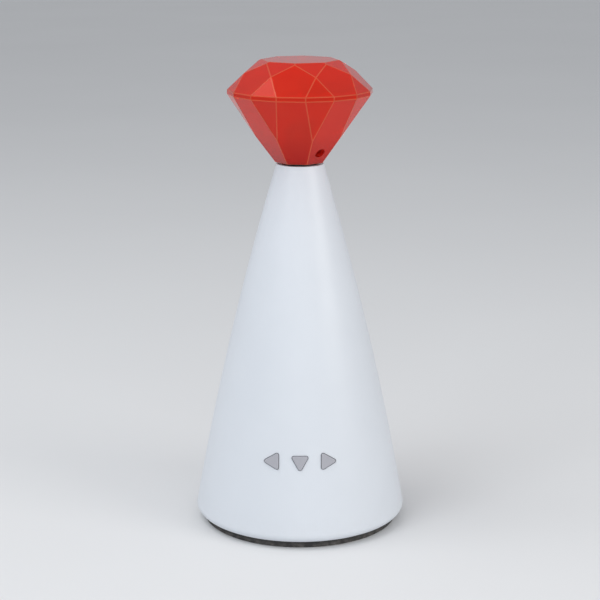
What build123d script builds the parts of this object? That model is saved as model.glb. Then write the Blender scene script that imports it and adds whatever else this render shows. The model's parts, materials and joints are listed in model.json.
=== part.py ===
from build123d import *
import math
import os

# Laser toy for cats: a white cone tower with a faceted head that turns, in millimetres.
# +Z is up, the origin is on the floor under the middle of the foot, and the buttons face -Y.
# A laser that stands still on the axis shines up a hollow drive shaft to a mirror in the head.

# Cone shell
foot_diameter = 100.0
foot_edge_radius = 3.4  # rounding where the side tucks under
cone_height = 172.0  # floor to neck
neck_radius = 11.0
side_bulge = 2.4  # how far the side stands out from a straight line, foot to neck
shell_wall = 2.2
neck_wall = 3.0  # thickness of the closed top

# Anti-slip ring and base plate
ring_stand = 3.2  # how far the ring lifts the shell off the floor
ring_width = 4.2
ring_seat = 1.0  # depth of the ring's groove in the plate
ring_groove_width = 0.8
plate_thickness = 3.6

# Faceted head
head_gap = 1.0  # neck to head
pavilion_height = 31.5
girdle_height = 2.0
crown_height = 13.5
head_foot_radius = 11.0
girdle_radius = 33.0  # across flats, halved
table_radius = 18.5
facet_count = 8
pavilion_break = 12.0  # height of the lower girdle facets' points over the head's foot
crown_break = 8.0  # height of the upper girdle facets' points over the girdle
table_trim = 0.5  # how far the star facets cut into the table's corners
head_wall = 2.0
hub_radius = 7.5
hub_height = 7.0
tongue_depth = 2.0
tongue_width = 1.4

# Beam and mirror
beam_azimuth = -52.0  # where the head points at rest, degrees from +X
beam_dip = 32.0  # degrees below level
beam_hole_radius = 2.5
beam_room = 1.5  # clear height of the beam over the mirror carrier's floor
carrier_floor = 1.5
carrier_spigot = 2.0
carrier_cheek = 1.5
carrier_roof = 1.5
mirror_side = 8.0
mirror_thickness = 1.0

# Drive shaft, bushes and clip
shaft_radius = 4.5
shaft_bore_radius = 3.0
shaft_flat = 3.9  # axis to the flat that drives the head and the output gear
bush_wall = 2.0
bush_flange_width = 2.0
bush_flange_thickness = 0.8
bush_length = 7.0
clip_thickness = 0.5
clip_radius = 5.4
clip_groove_depth = 0.5
clip_mouth = 5.0
shaft_tail = 0.8  # shaft below the clip

# Gear train
gear_module = 0.5
pressure_angle = 25.0
addendum = 0.8  # in modules
dedendum = 1.0  # in modules
backlash = 0.08
pinion_teeth = 10
wheel_teeth = 36
output_teeth = 50
face_width = 3.0
level_gap = 1.0
axle_radius = 1.0
sleeve_wall = 0.75
wheel_hole_radius = 1.6
wheel_hole_count = 5
train_azimuth = 90.0  # direction of the first gear from the axis, degrees from +X

# Gearbox
gearbox_plate_radius = 24.0
gearbox_plate = 2.0
gearbox_room = 1.5  # between the cover's rim and the shell
post_circle = 20.5
post_radius = 3.2
post_azimuths = (0.0, 180.0, 270.0)  # clear of the wheels
gearbox_boss_height = 22.0

# Motor
motor_radius = 9.0
motor_flat = 7.5  # axis to the can's flats
motor_length = 22.0
motor_cap_length = 2.5
motor_nose_radius = 2.5
motor_nose = 1.5
motor_shaft_depth = 6.0
motor_screw_circle = 5.5
terminal_width = 2.4
terminal_thickness = 0.5
terminal_length = 3.5

# Laser
laser_radius = 3.0
laser_length = 16.0
laser_socket_wall = 1.8
laser_socket_length = 12.0
lens_radius = 2.2
lens_thickness = 1.2
lens_depth = 0.8
driver_width = 5.0
driver_length = 9.0

# Batteries and their door
cell_diameter = 10.5
cell_length = 43.7
cell_nub_radius = 1.9
cell_nub = 0.8
cell_count = 3
cell_gap = 0.5
leaf_room = 5.0
contact_thickness = 0.5
contact_side = 7.0
bay_wall = 1.6
door_thickness = 2.0
door_ledge = 1.5
door_corner_radius = 4.0
door_ear_radius = 3.5
door_ear_reach = 1.8  # ear's centre past the bay's wall

# Buttons and board
button_height = 41.0
button_pitch = 12.3
button_radius = 4.9  # centre to a corner of the triangle
button_corner = 0.8
button_proud = 0.8
button_flange = 1.2
button_overhang = 1.6
button_travel = 0.7
button_stem_radius = 2.0
button_stem_depth = 7.4  # surface to the end of the stem
button_directions = {"left": 180.0, "middle": -90.0, "right": 0.0}
switch_side = 6.0
switch_height = 3.5
plunger_radius = 1.7
plunger_height = 1.0
board_width = 42.0
board_height = 26.0
board_thickness = 1.6
board_hole_inset = 3.2
board_post_radius = 2.4
chip_size = (10.0, 6.0, 1.6)
connector_size = (6.0, 4.5, 5.0)
connector_spread = 13.0  # middle of the board to each connector

# Screws
screw_radius = 1.25
screw_head_radius = 2.5
screw_head_height = 1.6
screw_bite = 9.0  # length in the boss
small_screw_radius = 0.95
small_screw_head_radius = 1.9
small_screw_head_height = 1.2
small_screw_bite = 4.0
boss_wall = 1.75
recess_width = 0.6
recess_depth = 0.8

# Clearances
fixed_clearance = 0.03  # between pieces that are fixed to each other
running_clearance = 0.05  # radial, of a shaft in its bush
seam_clearance = 0.2  # between covers and the edges that they sit in
button_clearance = 0.25
moving_gap = 0.2  # between flat faces that turn or slide past each other

# Heights and radii that follow
foot_radius = foot_diameter / 2
lip_radius = foot_radius - foot_edge_radius
plate_radius = lip_radius - seam_clearance
plate_top = ring_stand + plate_thickness
ring_radius = plate_radius - seam_clearance
ring_inner_radius = ring_radius - ring_width
head_foot = cone_height + head_gap
girdle_low = head_foot + pavilion_height
girdle_high = girdle_low + girdle_height
head_seam = girdle_low + girdle_height / 2
head_top = girdle_high + crown_height
hub_top = head_foot + hub_height
shaft_top = hub_top - carrier_spigot
facet_turn = 360 / facet_count
ridge_factor = 1 / math.cos(math.radians(facet_turn / 2))

# The side of the cone is one arc, tangent to the rounded foot and ending at the neck.
# Its lean at the foot sets where it leaves the rounding, and the other way round, so they are found in turns.
edge_centre_height = ring_stand + foot_edge_radius
lean_rounds = 20
lean = 0.0
for lean_round in range(lean_rounds):
    side_start_radius = lip_radius + foot_edge_radius * math.cos(lean)
    side_start_height = edge_centre_height + foot_edge_radius * math.sin(lean)
    side_run = side_start_radius - neck_radius
    side_rise = cone_height - side_start_height
    side_chord = math.hypot(side_run, side_rise)
    lean = math.atan2(side_run, side_rise) - 2 * math.atan(2 * side_bulge / side_chord)
side_arc = side_chord**2 / (8 * side_bulge) + side_bulge / 2
side_centre_radius = side_start_radius - side_arc * math.cos(lean)
side_centre_height = side_start_height - side_arc * math.sin(lean)


def cone_radius(height, inset=0.0):
    """Radius of the cone's side at a height, measured on a surface moved inwards by inset."""
    return side_centre_radius + math.sqrt((side_arc - inset) ** 2 - (height - side_centre_height) ** 2)


def cone_level(radius, inset=0.0):
    """Height at which the cone's side has a radius, measured on a surface moved inwards by inset."""
    return side_centre_height + math.sqrt((side_arc - inset) ** 2 - (radius - side_centre_radius) ** 2)


# The gearbox hangs as high in the cone as its cover fits, and its heights are counted down from there
cover_top = cone_level(gearbox_plate_radius + gearbox_room, shell_wall)
cover_low = cover_top - gearbox_plate
output_top = cover_low - bush_flange_thickness - moving_gap
output_low = output_top - level_gap - face_width
second_low = output_low - level_gap - face_width
first_low = second_low - level_gap - face_width
case_top = first_low - level_gap
case_low = case_top - gearbox_plate
clip_top = output_low - moving_gap
shaft_low = clip_top - clip_thickness - shaft_tail

# Gear centres: the second gear, the first gear and the motor share one circle round the axis
train_radius = gear_module * (output_teeth + pinion_teeth) / 2
mesh_distance = gear_module * (wheel_teeth + pinion_teeth) / 2
train_step = math.degrees(2 * math.asin(mesh_distance / (2 * train_radius)))
first_azimuth = train_azimuth
second_azimuth = train_azimuth - train_step
motor_azimuth = train_azimuth + train_step

# Batteries and door
bay_length = cell_length + cell_nub + leaf_room + 2 * contact_thickness
bay_width = cell_count * cell_diameter + (cell_count + 1) * cell_gap
door_top = ring_stand + door_thickness
cell_axis = door_top + cell_gap + cell_diameter / 2
bay_top = cell_axis + cell_diameter / 2 + cell_gap
door_screw_y = bay_width / 2 + bay_wall + door_ear_reach

# The buttons' frame: local z points out of the cone's front, local y up its side
button_surface = cone_radius(button_height)
button_tilt = math.asin((button_height - side_centre_height) / side_arc)
button_outwards = (0, -math.cos(button_tilt), math.sin(button_tilt))
button_plane = Plane(origin=(0, -button_surface, button_height), x_dir=(1, 0, 0), z_dir=button_outwards)
button_places = {"left": -button_pitch, "middle": 0.0, "right": button_pitch}
plunger_depth = button_stem_depth + button_travel + moving_gap / 2
board_depth = plunger_depth + plunger_height + switch_height
board_holes = [
    (side * (board_width / 2 - board_hole_inset), up * (board_height / 2 - board_hole_inset))
    for side in (-1, 1)
    for up in (-1, 1)
]

# The mirror is as high as the beam needs to clear the carrier's floor on its way down
dip = math.radians(beam_dip)
carrier_top = hub_top + carrier_floor
mirror_height = carrier_top + beam_room + hub_radius * math.tan(dip)
mirror_tilt = (90 - beam_dip) / 2

base_screw_circle = ring_inner_radius - seam_clearance - screw_head_radius - 2 * seam_clearance
base_screw_azimuths = (60.0, 120.0, 240.0, 300.0)


def polar(radius, azimuth):
    """Point on a circle round the axis."""
    angle = math.radians(azimuth)
    return radius * math.cos(angle), radius * math.sin(angle)


def rod(radius, low, high, place=(0.0, 0.0)):
    """Upright cylinder between two heights."""
    upwards = (Align.CENTER, Align.CENTER, Align.MIN)
    return Pos(place[0], place[1], low) * Cylinder(radius, high - low, align=upwards)


def block(length, width, low, high, place=(0.0, 0.0)):
    """Upright box between two heights."""
    upwards = (Align.CENTER, Align.CENTER, Align.MIN)
    return Pos(place[0], place[1], low) * Box(length, width, high - low, align=upwards)


def turned(*edges):
    """Solid of revolution from a closed outline in the XZ plane."""
    return revolve(make_face(edges), Axis.Z)


def cone_solid(inset=0.0, top=cone_height):
    """Solid cone with its rounded foot, its surface moved inwards by inset."""
    edge = foot_edge_radius - inset
    low = ring_stand + inset
    half_turn = (lean - math.pi / 2) / 2
    corner = (lip_radius + edge * math.cos(half_turn), 0, edge_centre_height + edge * math.sin(half_turn))
    start = (lip_radius + edge * math.cos(lean), 0, edge_centre_height + edge * math.sin(lean))
    half_height = (start[2] + top) / 2
    middle = (cone_radius(half_height, inset), 0, half_height)
    end = (cone_radius(top, inset), 0, top)
    return turned(
        Line((0, 0, low), (lip_radius, 0, low)),
        ThreePointArc((lip_radius, 0, low), corner, start),
        ThreePointArc(start, middle, end),
        Line(end, (0, 0, top)),
        Line((0, 0, top), (0, 0, low)),
    )


def screw(radius, head_radius, head_height, length):
    """Pan-head screw with a cross recess: head above z = 0, shank below."""
    dome = chamfer(rod(head_radius, 0, head_height).edges().group_by(Axis.Z)[-1], head_height / 3)
    recess = head_height - recess_depth
    across = head_radius * 1.2
    body = dome + rod(radius, -length, 0)
    body -= block(across, recess_width, recess, head_height)
    return body - block(recess_width, across, recess, head_height)


def large_screw(length):
    return screw(screw_radius, screw_head_radius, screw_head_height, length)


def small_screw(length):
    return screw(small_screw_radius, small_screw_head_radius, small_screw_head_height, length)


def flat_sided(radius, flat, low, high):
    """Cylinder with one flat, square to +X."""
    return rod(radius, low, high) - block(radius, 2 * radius, low, high, (flat + radius / 2, 0))


def gear_outline(teeth, first_tooth):
    """Face of an involute spur gear with one tooth centred on the angle first_tooth."""
    pitch = gear_module * teeth / 2
    slope = math.radians(pressure_angle)
    base = pitch * math.cos(slope)
    root = pitch - dedendum * gear_module
    tip = pitch + addendum * gear_module
    half_tooth = math.pi / (2 * teeth) - backlash / (4 * pitch)

    def half_angle(radius):
        roll = math.acos(min(1.0, base / radius))
        return half_tooth + (math.tan(slope) - slope) - (math.tan(roll) - roll)

    def point(radius, angle):
        return radius * math.cos(angle), radius * math.sin(angle)

    start = max(base, root)
    half_way = (start + tip) / 2
    step = 2 * math.pi / teeth
    edges = []
    for number in range(teeth):
        centre = math.radians(first_tooth) + number * step
        rise = [point(radius, centre - half_angle(radius)) for radius in (start, half_way, tip)]
        fall = [point(radius, centre + half_angle(radius)) for radius in (tip, half_way, start)]
        foot_in = point(root, centre - half_angle(start))
        foot_out = point(root, centre + half_angle(start))
        next_foot = point(root, centre + step - half_angle(start))
        if root < base:
            edges += [Line(foot_in, rise[0]), Line(fall[2], foot_out)]
        edges += [ThreePointArc(*rise), Line(rise[2], fall[0]), ThreePointArc(*fall)]
        edges.append(Line(foot_out, next_foot))
    return make_face(edges)


def gear(teeth, low, first_tooth):
    """Spur gear of one face width, standing on a height, round the Z axis."""
    return Pos(0, 0, low) * extrude(gear_outline(teeth, first_tooth), face_width)


def compound_gear(wheel_low, wheel_tooth, pinion_low, pinion_tooth):
    """Wheel and pinion moulded in one, on a sleeve that runs the full height between the plates."""
    sleeve_radius = axle_radius + running_clearance + sleeve_wall
    hole_circle = (gear_module * wheel_teeth / 2 + sleeve_radius) / 2
    body = gear(wheel_teeth, wheel_low, wheel_tooth) + gear(pinion_teeth, pinion_low, pinion_tooth)
    for number in range(wheel_hole_count):
        place = polar(hole_circle, number * 360 / wheel_hole_count)
        body -= rod(wheel_hole_radius, wheel_low, wheel_low + face_width, place)
    body += rod(sleeve_radius, case_top + moving_gap, cover_low - moving_gap)
    return body - rod(axle_radius + running_clearance, case_top, cover_low)


def facet(solid, azimuth, low, high, inset):
    """Cut one flat facet through two (radius, height) points along an azimuth, moved in by inset."""
    run = high[0] - low[0]
    rise = high[1] - low[1]
    outwards = Vector(rise, 0, -run).normalized().rotate(Axis.Z, azimuth)
    point = Vector(low[0], 0, low[1]).rotate(Axis.Z, azimuth) - outwards * inset
    return split(solid, bisect_by=Plane(origin=point, z_dir=outwards), keep=Keep.BOTTOM)


def between(low, high, height):
    """Radius at a height on the straight line through two (radius, height) points."""
    return low[0] + (high[0] - low[0]) * (height - low[1]) / (high[1] - low[1])


pavilion_line = ((head_foot_radius, head_foot), (girdle_radius, girdle_low))
crown_line = ((girdle_radius, girdle_high), (table_radius, head_top))


def gem(inset=0.0):
    """Brilliant-cut solid: each row of facets is cut from a prism, and inset moves every face inwards."""
    half_step = facet_turn / 2
    low_point = (
        between(*pavilion_line, head_foot + pavilion_break) * ridge_factor,
        head_foot + pavilion_break,
    )
    high_point = (
        between(*crown_line, girdle_high + crown_break) * ridge_factor,
        girdle_high + crown_break,
    )
    table_point = (table_radius / ridge_factor - table_trim, head_top)
    rows = [
        (0.0, *pavilion_line),
        (half_step, low_point, pavilion_line[1]),
        (0.0, *crown_line),
        (half_step, crown_line[0], high_point),
        (half_step, high_point, table_point),
    ]
    sides = 2 * facet_count
    girdle = Rot(0, 0, half_step / 2) * RegularPolygon(girdle_radius - inset, sides, major_radius=False)
    solid = Pos(0, 0, head_foot + inset) * extrude(girdle, head_top - head_foot - 2 * inset)
    for offset, low, high in rows:
        for number in range(facet_count):
            solid = facet(solid, offset + number * facet_turn, low, high, inset)
    return solid


def aimed(solid):
    """Turn a piece of the head from its own frame, beam along +X, to where the head points at rest."""
    return Rot(0, 0, beam_azimuth) * solid


def head_shell():
    return gem() - gem(head_wall)


def head_bowl(shell):
    """Lower half of the head: hub on the shaft, and the hole that the beam leaves through."""
    bowl = split(shell, bisect_by=Plane.XY.offset(head_seam), keep=Keep.BOTTOM)
    bowl += rod(hub_radius, head_foot, hub_top)
    bowl -= flat_sided(shaft_radius + fixed_clearance, shaft_flat + fixed_clearance, head_foot, shaft_top)
    bowl -= rod(shaft_radius + bush_wall / 2, shaft_top, hub_top)
    along_beam = Pos(0, 0, mirror_height) * Rot(0, 90 + beam_dip, 0)
    return aimed(bowl - along_beam * rod(beam_hole_radius, hub_radius, girdle_radius))


def head_crown(shell):
    """Upper half of the head, with the tongue that fits inside the bowl's rim."""
    crown = split(shell, bisect_by=Plane.XY.offset(head_seam), keep=Keep.TOP)
    tongue_low = head_seam - tongue_depth
    lean_factor = math.hypot(1, (girdle_radius - head_foot_radius) / pavilion_height)
    bowl_inside = between(*pavilion_line, tongue_low) - head_wall * lean_factor
    tongue_radius = bowl_inside - seam_clearance
    tongue = rod(tongue_radius, tongue_low, girdle_high + tongue_depth)
    tongue -= rod(tongue_radius - tongue_width, tongue_low, girdle_high + tongue_depth)
    return aimed(crown + (tongue & gem(head_wall / 2)))


def mirror_frame():
    """Plane of the mirror's silvered face, whose normal points down at the laser and out at the window."""
    tilt = math.radians(mirror_tilt)
    return Plane(
        origin=(0, 0, mirror_height),
        x_dir=(math.cos(tilt), 0, math.sin(tilt)),
        z_dir=(math.sin(tilt), 0, -math.cos(tilt)),
    )


def mirror():
    silvered = Box(mirror_side, mirror_side, mirror_thickness, align=(Align.CENTER, Align.CENTER, Align.MAX))
    return aimed(mirror_frame() * silvered)


def mirror_carrier():
    """Bracket on the hub: two cheeks and a sloping roof that the mirror is glued under."""
    inside = mirror_side + 2 * fixed_clearance
    peak = mirror_height + mirror_side
    body = block(mirror_side, inside + 2 * carrier_cheek, hub_top, peak)
    frame = mirror_frame()
    back = frame.offset(-mirror_thickness)
    tunnel = split(block(2 * mirror_side, inside, carrier_top, peak), bisect_by=back, keep=Keep.TOP)
    body = split(body, bisect_by=back.offset(-carrier_roof), keep=Keep.TOP) - tunnel
    body += rod(hub_radius, hub_top, carrier_top)
    body += rod(shaft_radius + bush_wall / 2 - fixed_clearance, shaft_top, hub_top)
    body -= rod(shaft_bore_radius, shaft_top, carrier_top)
    return aimed(body)


def drive_shaft():
    """Hollow shaft, with a flat at each end and the clip's groove below the output gear."""
    shaft = rod(shaft_radius, shaft_low, shaft_top)
    shaft &= flat_sided(shaft_radius, shaft_flat, shaft_low, shaft_top) + rod(
        shaft_radius, output_top, head_foot
    )
    groove_low = clip_top - clip_thickness - fixed_clearance
    groove_high = clip_top + fixed_clearance
    groove = rod(shaft_radius, groove_low, groove_high)
    groove -= rod(shaft_radius - clip_groove_depth, groove_low, groove_high)
    return aimed(shaft - groove - rod(shaft_bore_radius, shaft_low, shaft_top))


def output_gear():
    """Large gear on the shaft, with a hub that runs under the cover's bush."""
    body = gear(output_teeth, output_low, second_azimuth)
    body += rod(shaft_radius + bush_wall + bush_flange_width, output_low, output_top)
    bore = flat_sided(shaft_radius + fixed_clearance, shaft_flat + fixed_clearance, output_low, output_top)
    return body - aimed(bore)


def shaft_clip():
    low = clip_top - clip_thickness
    ring = rod(clip_radius, low, clip_top)
    ring -= rod(shaft_radius - clip_groove_depth + fixed_clearance, low, clip_top)
    return aimed(ring - block(clip_radius, clip_mouth, low, clip_top, (-clip_radius / 2, 0)))


def bush(flange_low, flange_high, low, high):
    """Flanged bush that the drive shaft runs in."""
    body = rod(shaft_radius + bush_wall, low, high)
    body += rod(shaft_radius + bush_wall + bush_flange_width, flange_low, flange_high)
    return body - rod(shaft_radius + running_clearance, min(low, flange_low), max(high, flange_high))


def cover_bush():
    """Lower bush, its flange under the gearbox cover."""
    return bush(cover_low - bush_flange_thickness, cover_low, cover_low, cover_top + level_gap)


def neck_bush():
    """Upper bush, its flange on the neck under the head."""
    return bush(cone_height, cone_height + bush_flange_thickness, cone_height - bush_length, cone_height)


def train_places():
    """Centres of the first gear, the second gear and the motor."""
    azimuths = (first_azimuth, second_azimuth, motor_azimuth)
    return [polar(train_radius, azimuth) for azimuth in azimuths]


def heading(start, end):
    """Direction from one centre to another, in degrees from +X."""
    return math.degrees(math.atan2(end[1] - start[1], end[0] - start[0]))


first_place, second_place, motor_place = train_places()
first_to_motor = heading(first_place, motor_place)
second_to_first = heading(second_place, first_place)
half_pitch = 180 / pinion_teeth


def first_gear():
    body = compound_gear(first_low, first_to_motor, second_low, second_to_first + 180 + half_pitch)
    return Pos(*first_place, 0) * body


def second_gear():
    body = compound_gear(second_low, second_to_first, output_low, second_azimuth + 180 + half_pitch)
    return Pos(*second_place, 0) * body


def motor_pinion():
    body = gear(pinion_teeth, first_low, first_to_motor + 180 + half_pitch)
    body -= rod(axle_radius + fixed_clearance, first_low, first_low + face_width)
    return Pos(*motor_place, 0) * body


def motor_shaft():
    return rod(axle_radius, case_low - motor_shaft_depth, first_low + face_width, motor_place)


def gear_axles():
    return [rod(axle_radius, case_low, cover_top, place) for place in (first_place, second_place)]


def motor_screw_places():
    """Two screws square to the line from the motor to the first gear, clear of the first wheel."""
    return [
        (
            motor_place[0] + polar(motor_screw_circle, first_to_motor + side)[0],
            motor_place[1] + polar(motor_screw_circle, first_to_motor + side)[1],
        )
        for side in (-90, 90)
    ]


def motor_screws():
    length = gearbox_plate + small_screw_bite
    return [Pos(*place, case_top) * small_screw(length) for place in motor_screw_places()]


def motor_frame(height):
    return Pos(*motor_place, height) * Rot(0, 0, first_to_motor)


def motor_can():
    """Flat-sided can with a nose in the case, bored for the shaft and the screws."""
    can = rod(motor_radius, -motor_length, 0) & block(2 * motor_flat, 2 * motor_radius, -motor_length, 0)
    can = chamfer(can.edges().group_by(Axis.Z)[-1], motor_nose / 2)
    can += rod(motor_nose_radius, 0, motor_nose)
    can = motor_frame(case_low) * can
    can -= rod(axle_radius + running_clearance, case_low - motor_shaft_depth, case_top, motor_place)
    for place in motor_screw_places():
        can -= rod(small_screw_radius + fixed_clearance, case_low - small_screw_bite, case_low, place)
    return can


def motor_cap():
    """Plastic end of the motor, with two solder tags."""
    cap = rod(motor_radius, -motor_cap_length, 0)
    cap &= block(2 * motor_flat, 2 * motor_radius, -motor_cap_length, 0)
    for side in (-1, 1):
        place = (0, side * motor_screw_circle)
        cap += block(terminal_width, terminal_thickness, -motor_cap_length - terminal_length, 0, place)
    return motor_frame(case_low - motor_length) * cap


def post_places():
    return [polar(post_circle, azimuth) for azimuth in post_azimuths]


def gearbox_case():
    """Lower plate with the posts that carry the cover, and the laser's socket under its middle."""
    socket_radius = laser_radius + fixed_clearance + laser_socket_wall
    body = rod(gearbox_plate_radius, case_low, case_top)
    body += rod(socket_radius, case_low - laser_socket_length, case_low)
    for place in post_places():
        body += rod(post_radius, case_low, cover_low, place)
    for place in post_places():
        body -= rod(screw_radius + fixed_clearance, case_low, cover_low, place)
    for place in (first_place, second_place):
        body -= rod(axle_radius + fixed_clearance, case_low, case_top, place)
    for place in motor_screw_places():
        body -= rod(small_screw_radius + fixed_clearance, case_low, case_top, place)
    body -= rod(motor_nose_radius + fixed_clearance, case_low, case_top, motor_place)
    return body - rod(laser_radius + fixed_clearance, case_low - laser_socket_length, case_top)


def gearbox_cover():
    body = rod(gearbox_plate_radius, cover_low, cover_top)
    for place in post_places():
        body -= rod(screw_radius + fixed_clearance, cover_low, cover_top, place)
    for place in (first_place, second_place):
        body -= rod(axle_radius + fixed_clearance, cover_low, cover_top, place)
    return body - rod(shaft_radius + bush_wall + fixed_clearance, cover_low, cover_top)


def gearbox_screws():
    length = cover_top + screw_bite - case_low
    upside_down = Rot(180, 0, 0)
    return [Pos(*place, case_low) * upside_down * large_screw(length) for place in post_places()]


def laser_low():
    return case_top - laser_length


def laser_module():
    """Brass barrel in the case's socket, open at the lens and slotted for its driver board."""
    mouth = case_top - lens_depth - lens_thickness
    body = rod(laser_radius, laser_low(), case_top)
    body -= rod(lens_radius + fixed_clearance, mouth, case_top)
    slot = board_thickness + 2 * fixed_clearance
    return body - block(slot, driver_width + 2 * fixed_clearance, laser_low(), laser_low() + board_thickness)


def laser_lens():
    return rod(lens_radius, case_top - lens_depth - lens_thickness, case_top - lens_depth)


def laser_driver_board():
    top = laser_low() + board_thickness
    return block(board_thickness, driver_width, top - driver_length, top)


def base_screw_places():
    return [polar(base_screw_circle, azimuth) for azimuth in base_screw_azimuths]


def base_screws():
    length = plate_top - ring_stand - screw_head_height + screw_bite
    head_seat = ring_stand + screw_head_height
    upside_down = Rot(180, 0, 0)
    return [Pos(*place, head_seat) * upside_down * large_screw(length) for place in base_screw_places()]


def shell_bosses():
    """Inside of the shell: bosses for the base screws with ribs to the wall, gearbox bosses, board posts."""
    boss_radius = screw_radius + fixed_clearance + boss_wall
    boss_top = plate_top + screw_bite + boss_wall
    bosses = []
    for place, azimuth in zip(base_screw_places(), base_screw_azimuths):
        bosses.append(rod(boss_radius, plate_top, boss_top, place))
        rib = block(foot_radius - base_screw_circle, shell_wall, plate_top, boss_top)
        rib_centre = polar((foot_radius + base_screw_circle) / 2, azimuth)
        bosses.append(Pos(*rib_centre, 0) * Rot(0, 0, azimuth) * rib)
    for place in post_places():
        bosses.append(rod(post_radius, cover_top, cover_top + gearbox_boss_height, place))
    for place in board_holes:
        bosses.append(button_plane * rod(board_post_radius, -board_depth, 0, place))
    return bosses


def cone_shell():
    """One-piece white cone, open at the foot, with its bosses and the holes for buttons and bush."""
    skin = cone_solid()
    cavity = cone_solid(shell_wall, cone_height - neck_wall)
    cavity += rod(lip_radius, ring_stand, ring_stand + shell_wall)
    shell = skin - cavity
    inner_half = cone_solid(shell_wall / 2)
    for boss in shell_bosses():
        shell += boss & inner_half
    for place in base_screw_places():
        shell -= rod(screw_radius + fixed_clearance, plate_top, plate_top + screw_bite, place)
    for place in post_places():
        shell -= rod(screw_radius + fixed_clearance, cover_top, cover_top + screw_bite, place)
    bite_top = small_screw_bite - board_depth
    for place in board_holes:
        shell -= button_plane * rod(small_screw_radius + fixed_clearance, -board_depth, bite_top, place)
    for name in button_places:
        shell -= button_prism(name, button_clearance, -board_depth, board_depth)
    return shell - rod(shaft_radius + bush_wall + fixed_clearance, cone_height - neck_wall, cone_height)


def button_prism(name, margin, low, high):
    """Prism of a button's rounded triangle, widened by a margin, along the direction of its travel."""
    corners = [polar(button_radius, button_directions[name] + turn) for turn in (0, 120, 240)]
    outline = fillet(Polygon(*corners, align=None).vertices(), button_corner)
    if margin > 0:
        outline = offset(outline, margin)
    return button_plane * (Pos(button_places[name], 0, low) * extrude(outline, high - low))


def mode_button(name):
    """Triangular button: a cap that follows the cone, a flange inside the wall and a stem to its switch."""
    flange_face = shell_wall + moving_gap
    flange_back = cone_solid(flange_face + button_flange)
    body = button_prism(name, 0, -board_depth, board_depth) & cone_solid(-button_proud)
    flange = button_prism(name, button_overhang, -board_depth, 0) & cone_solid(flange_face)
    body = body + flange - flange_back
    stem = button_plane * rod(button_stem_radius, -button_stem_depth, 0, (button_places[name], 0))
    return body + (stem & cone_solid(flange_face + button_flange / 2))


def on_board_back(size, place):
    """Box of a component soldered to the back of the board."""
    back = -board_depth - board_thickness
    return button_plane * block(size[0], size[1], back - size[2], back, place)


def main_board():
    back = -board_depth - board_thickness
    board = block(board_width, board_height, back, -board_depth)
    for place in board_holes:
        board -= rod(small_screw_radius + fixed_clearance, back, -board_depth, place)
    return button_plane * board


def tact_switches():
    """One switch behind each button: a square body with a round plunger."""
    switches = []
    for place in button_places.values():
        body = block(switch_side, switch_side, -board_depth, -board_depth + switch_height, (place, 0))
        body += rod(plunger_radius, -board_depth, -plunger_depth, (place, 0))
        switches.append(button_plane * body)
    return switches


def control_chip():
    return on_board_back(chip_size, (0, board_height / 4))


def board_connectors():
    low = -board_height / 4
    return [on_board_back(connector_size, (side * connector_spread, low)) for side in (-1, 1)]


def board_screws():
    upside_down = Rot(180, 0, 0)
    length = board_thickness + small_screw_bite
    seat = -board_depth - board_thickness
    return [
        button_plane * (Pos(*place, seat) * upside_down * small_screw(length)) for place in board_holes
    ]


def door_outline(margin):
    """Outline of the battery door: a rounded rectangle with an ear for a screw at each side."""
    length = bay_length + 2 * door_ledge
    width = bay_width + 2 * door_ledge
    ears = [Pos(0, side * door_screw_y) * Circle(door_ear_radius) for side in (-1, 1)]
    outline = RectangleRounded(length, width, door_corner_radius) + ears
    return offset(outline, margin) if margin > 0 else outline


def door_screw_places():
    return [(0, side * door_screw_y) for side in (-1, 1)]


def battery_door():
    door = Pos(0, 0, ring_stand) * extrude(door_outline(0), door_thickness)
    head_seat = ring_stand + small_screw_head_height
    for place in door_screw_places():
        door -= rod(small_screw_head_radius + fixed_clearance, ring_stand, head_seat, place)
        door -= rod(small_screw_radius + fixed_clearance, ring_stand, door_top, place)
    return door


def door_screws():
    head_seat = ring_stand + small_screw_head_height
    length = door_top - head_seat + small_screw_bite
    upside_down = Rot(180, 0, 0)
    return [Pos(*place, head_seat) * upside_down * small_screw(length) for place in door_screw_places()]


def base_plate():
    """Floor of the toy, with the ring's groove, the door's seat and the battery bay on top."""
    plate = rod(plate_radius, ring_stand, plate_top)
    plate += block(bay_length + 2 * bay_wall, bay_width + 2 * bay_wall, ring_stand, bay_top + bay_wall)
    boss_radius = small_screw_radius + running_clearance + boss_wall
    for place in door_screw_places():
        plate += rod(boss_radius, plate_top, door_top + small_screw_bite + boss_wall, place)
    plate -= block(bay_length, bay_width, ring_stand, bay_top)
    plate -= Pos(0, 0, ring_stand) * extrude(door_outline(seam_clearance), door_thickness)
    bite_top = door_top + small_screw_bite + moving_gap
    for place in door_screw_places():
        plate -= rod(small_screw_radius + running_clearance, door_top, bite_top, place)
    for place in base_screw_places():
        plate -= rod(screw_radius + fixed_clearance, ring_stand, plate_top, place)
        plate -= rod(screw_head_radius + fixed_clearance, ring_stand, ring_stand + screw_head_height, place)
    groove = rod(ring_radius + fixed_clearance, ring_stand, ring_stand + ring_seat)
    groove -= rod(ring_inner_radius - fixed_clearance, ring_stand, ring_stand + ring_seat)
    return plate - groove


def anti_slip_ring():
    """Rubber ring in the plate's groove, with one grip groove round its tread."""
    body = rod(ring_radius, 0, ring_stand + ring_seat)
    body -= rod(ring_inner_radius, 0, ring_stand + ring_seat)
    body = chamfer(body.edges().group_by(Axis.Z)[0], ring_groove_width / 2)
    middle = (ring_radius + ring_inner_radius) / 2
    tread = rod(middle + ring_groove_width / 2, 0, ring_groove_width)
    return body - (tread - rod(middle - ring_groove_width / 2, 0, ring_groove_width))


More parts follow.
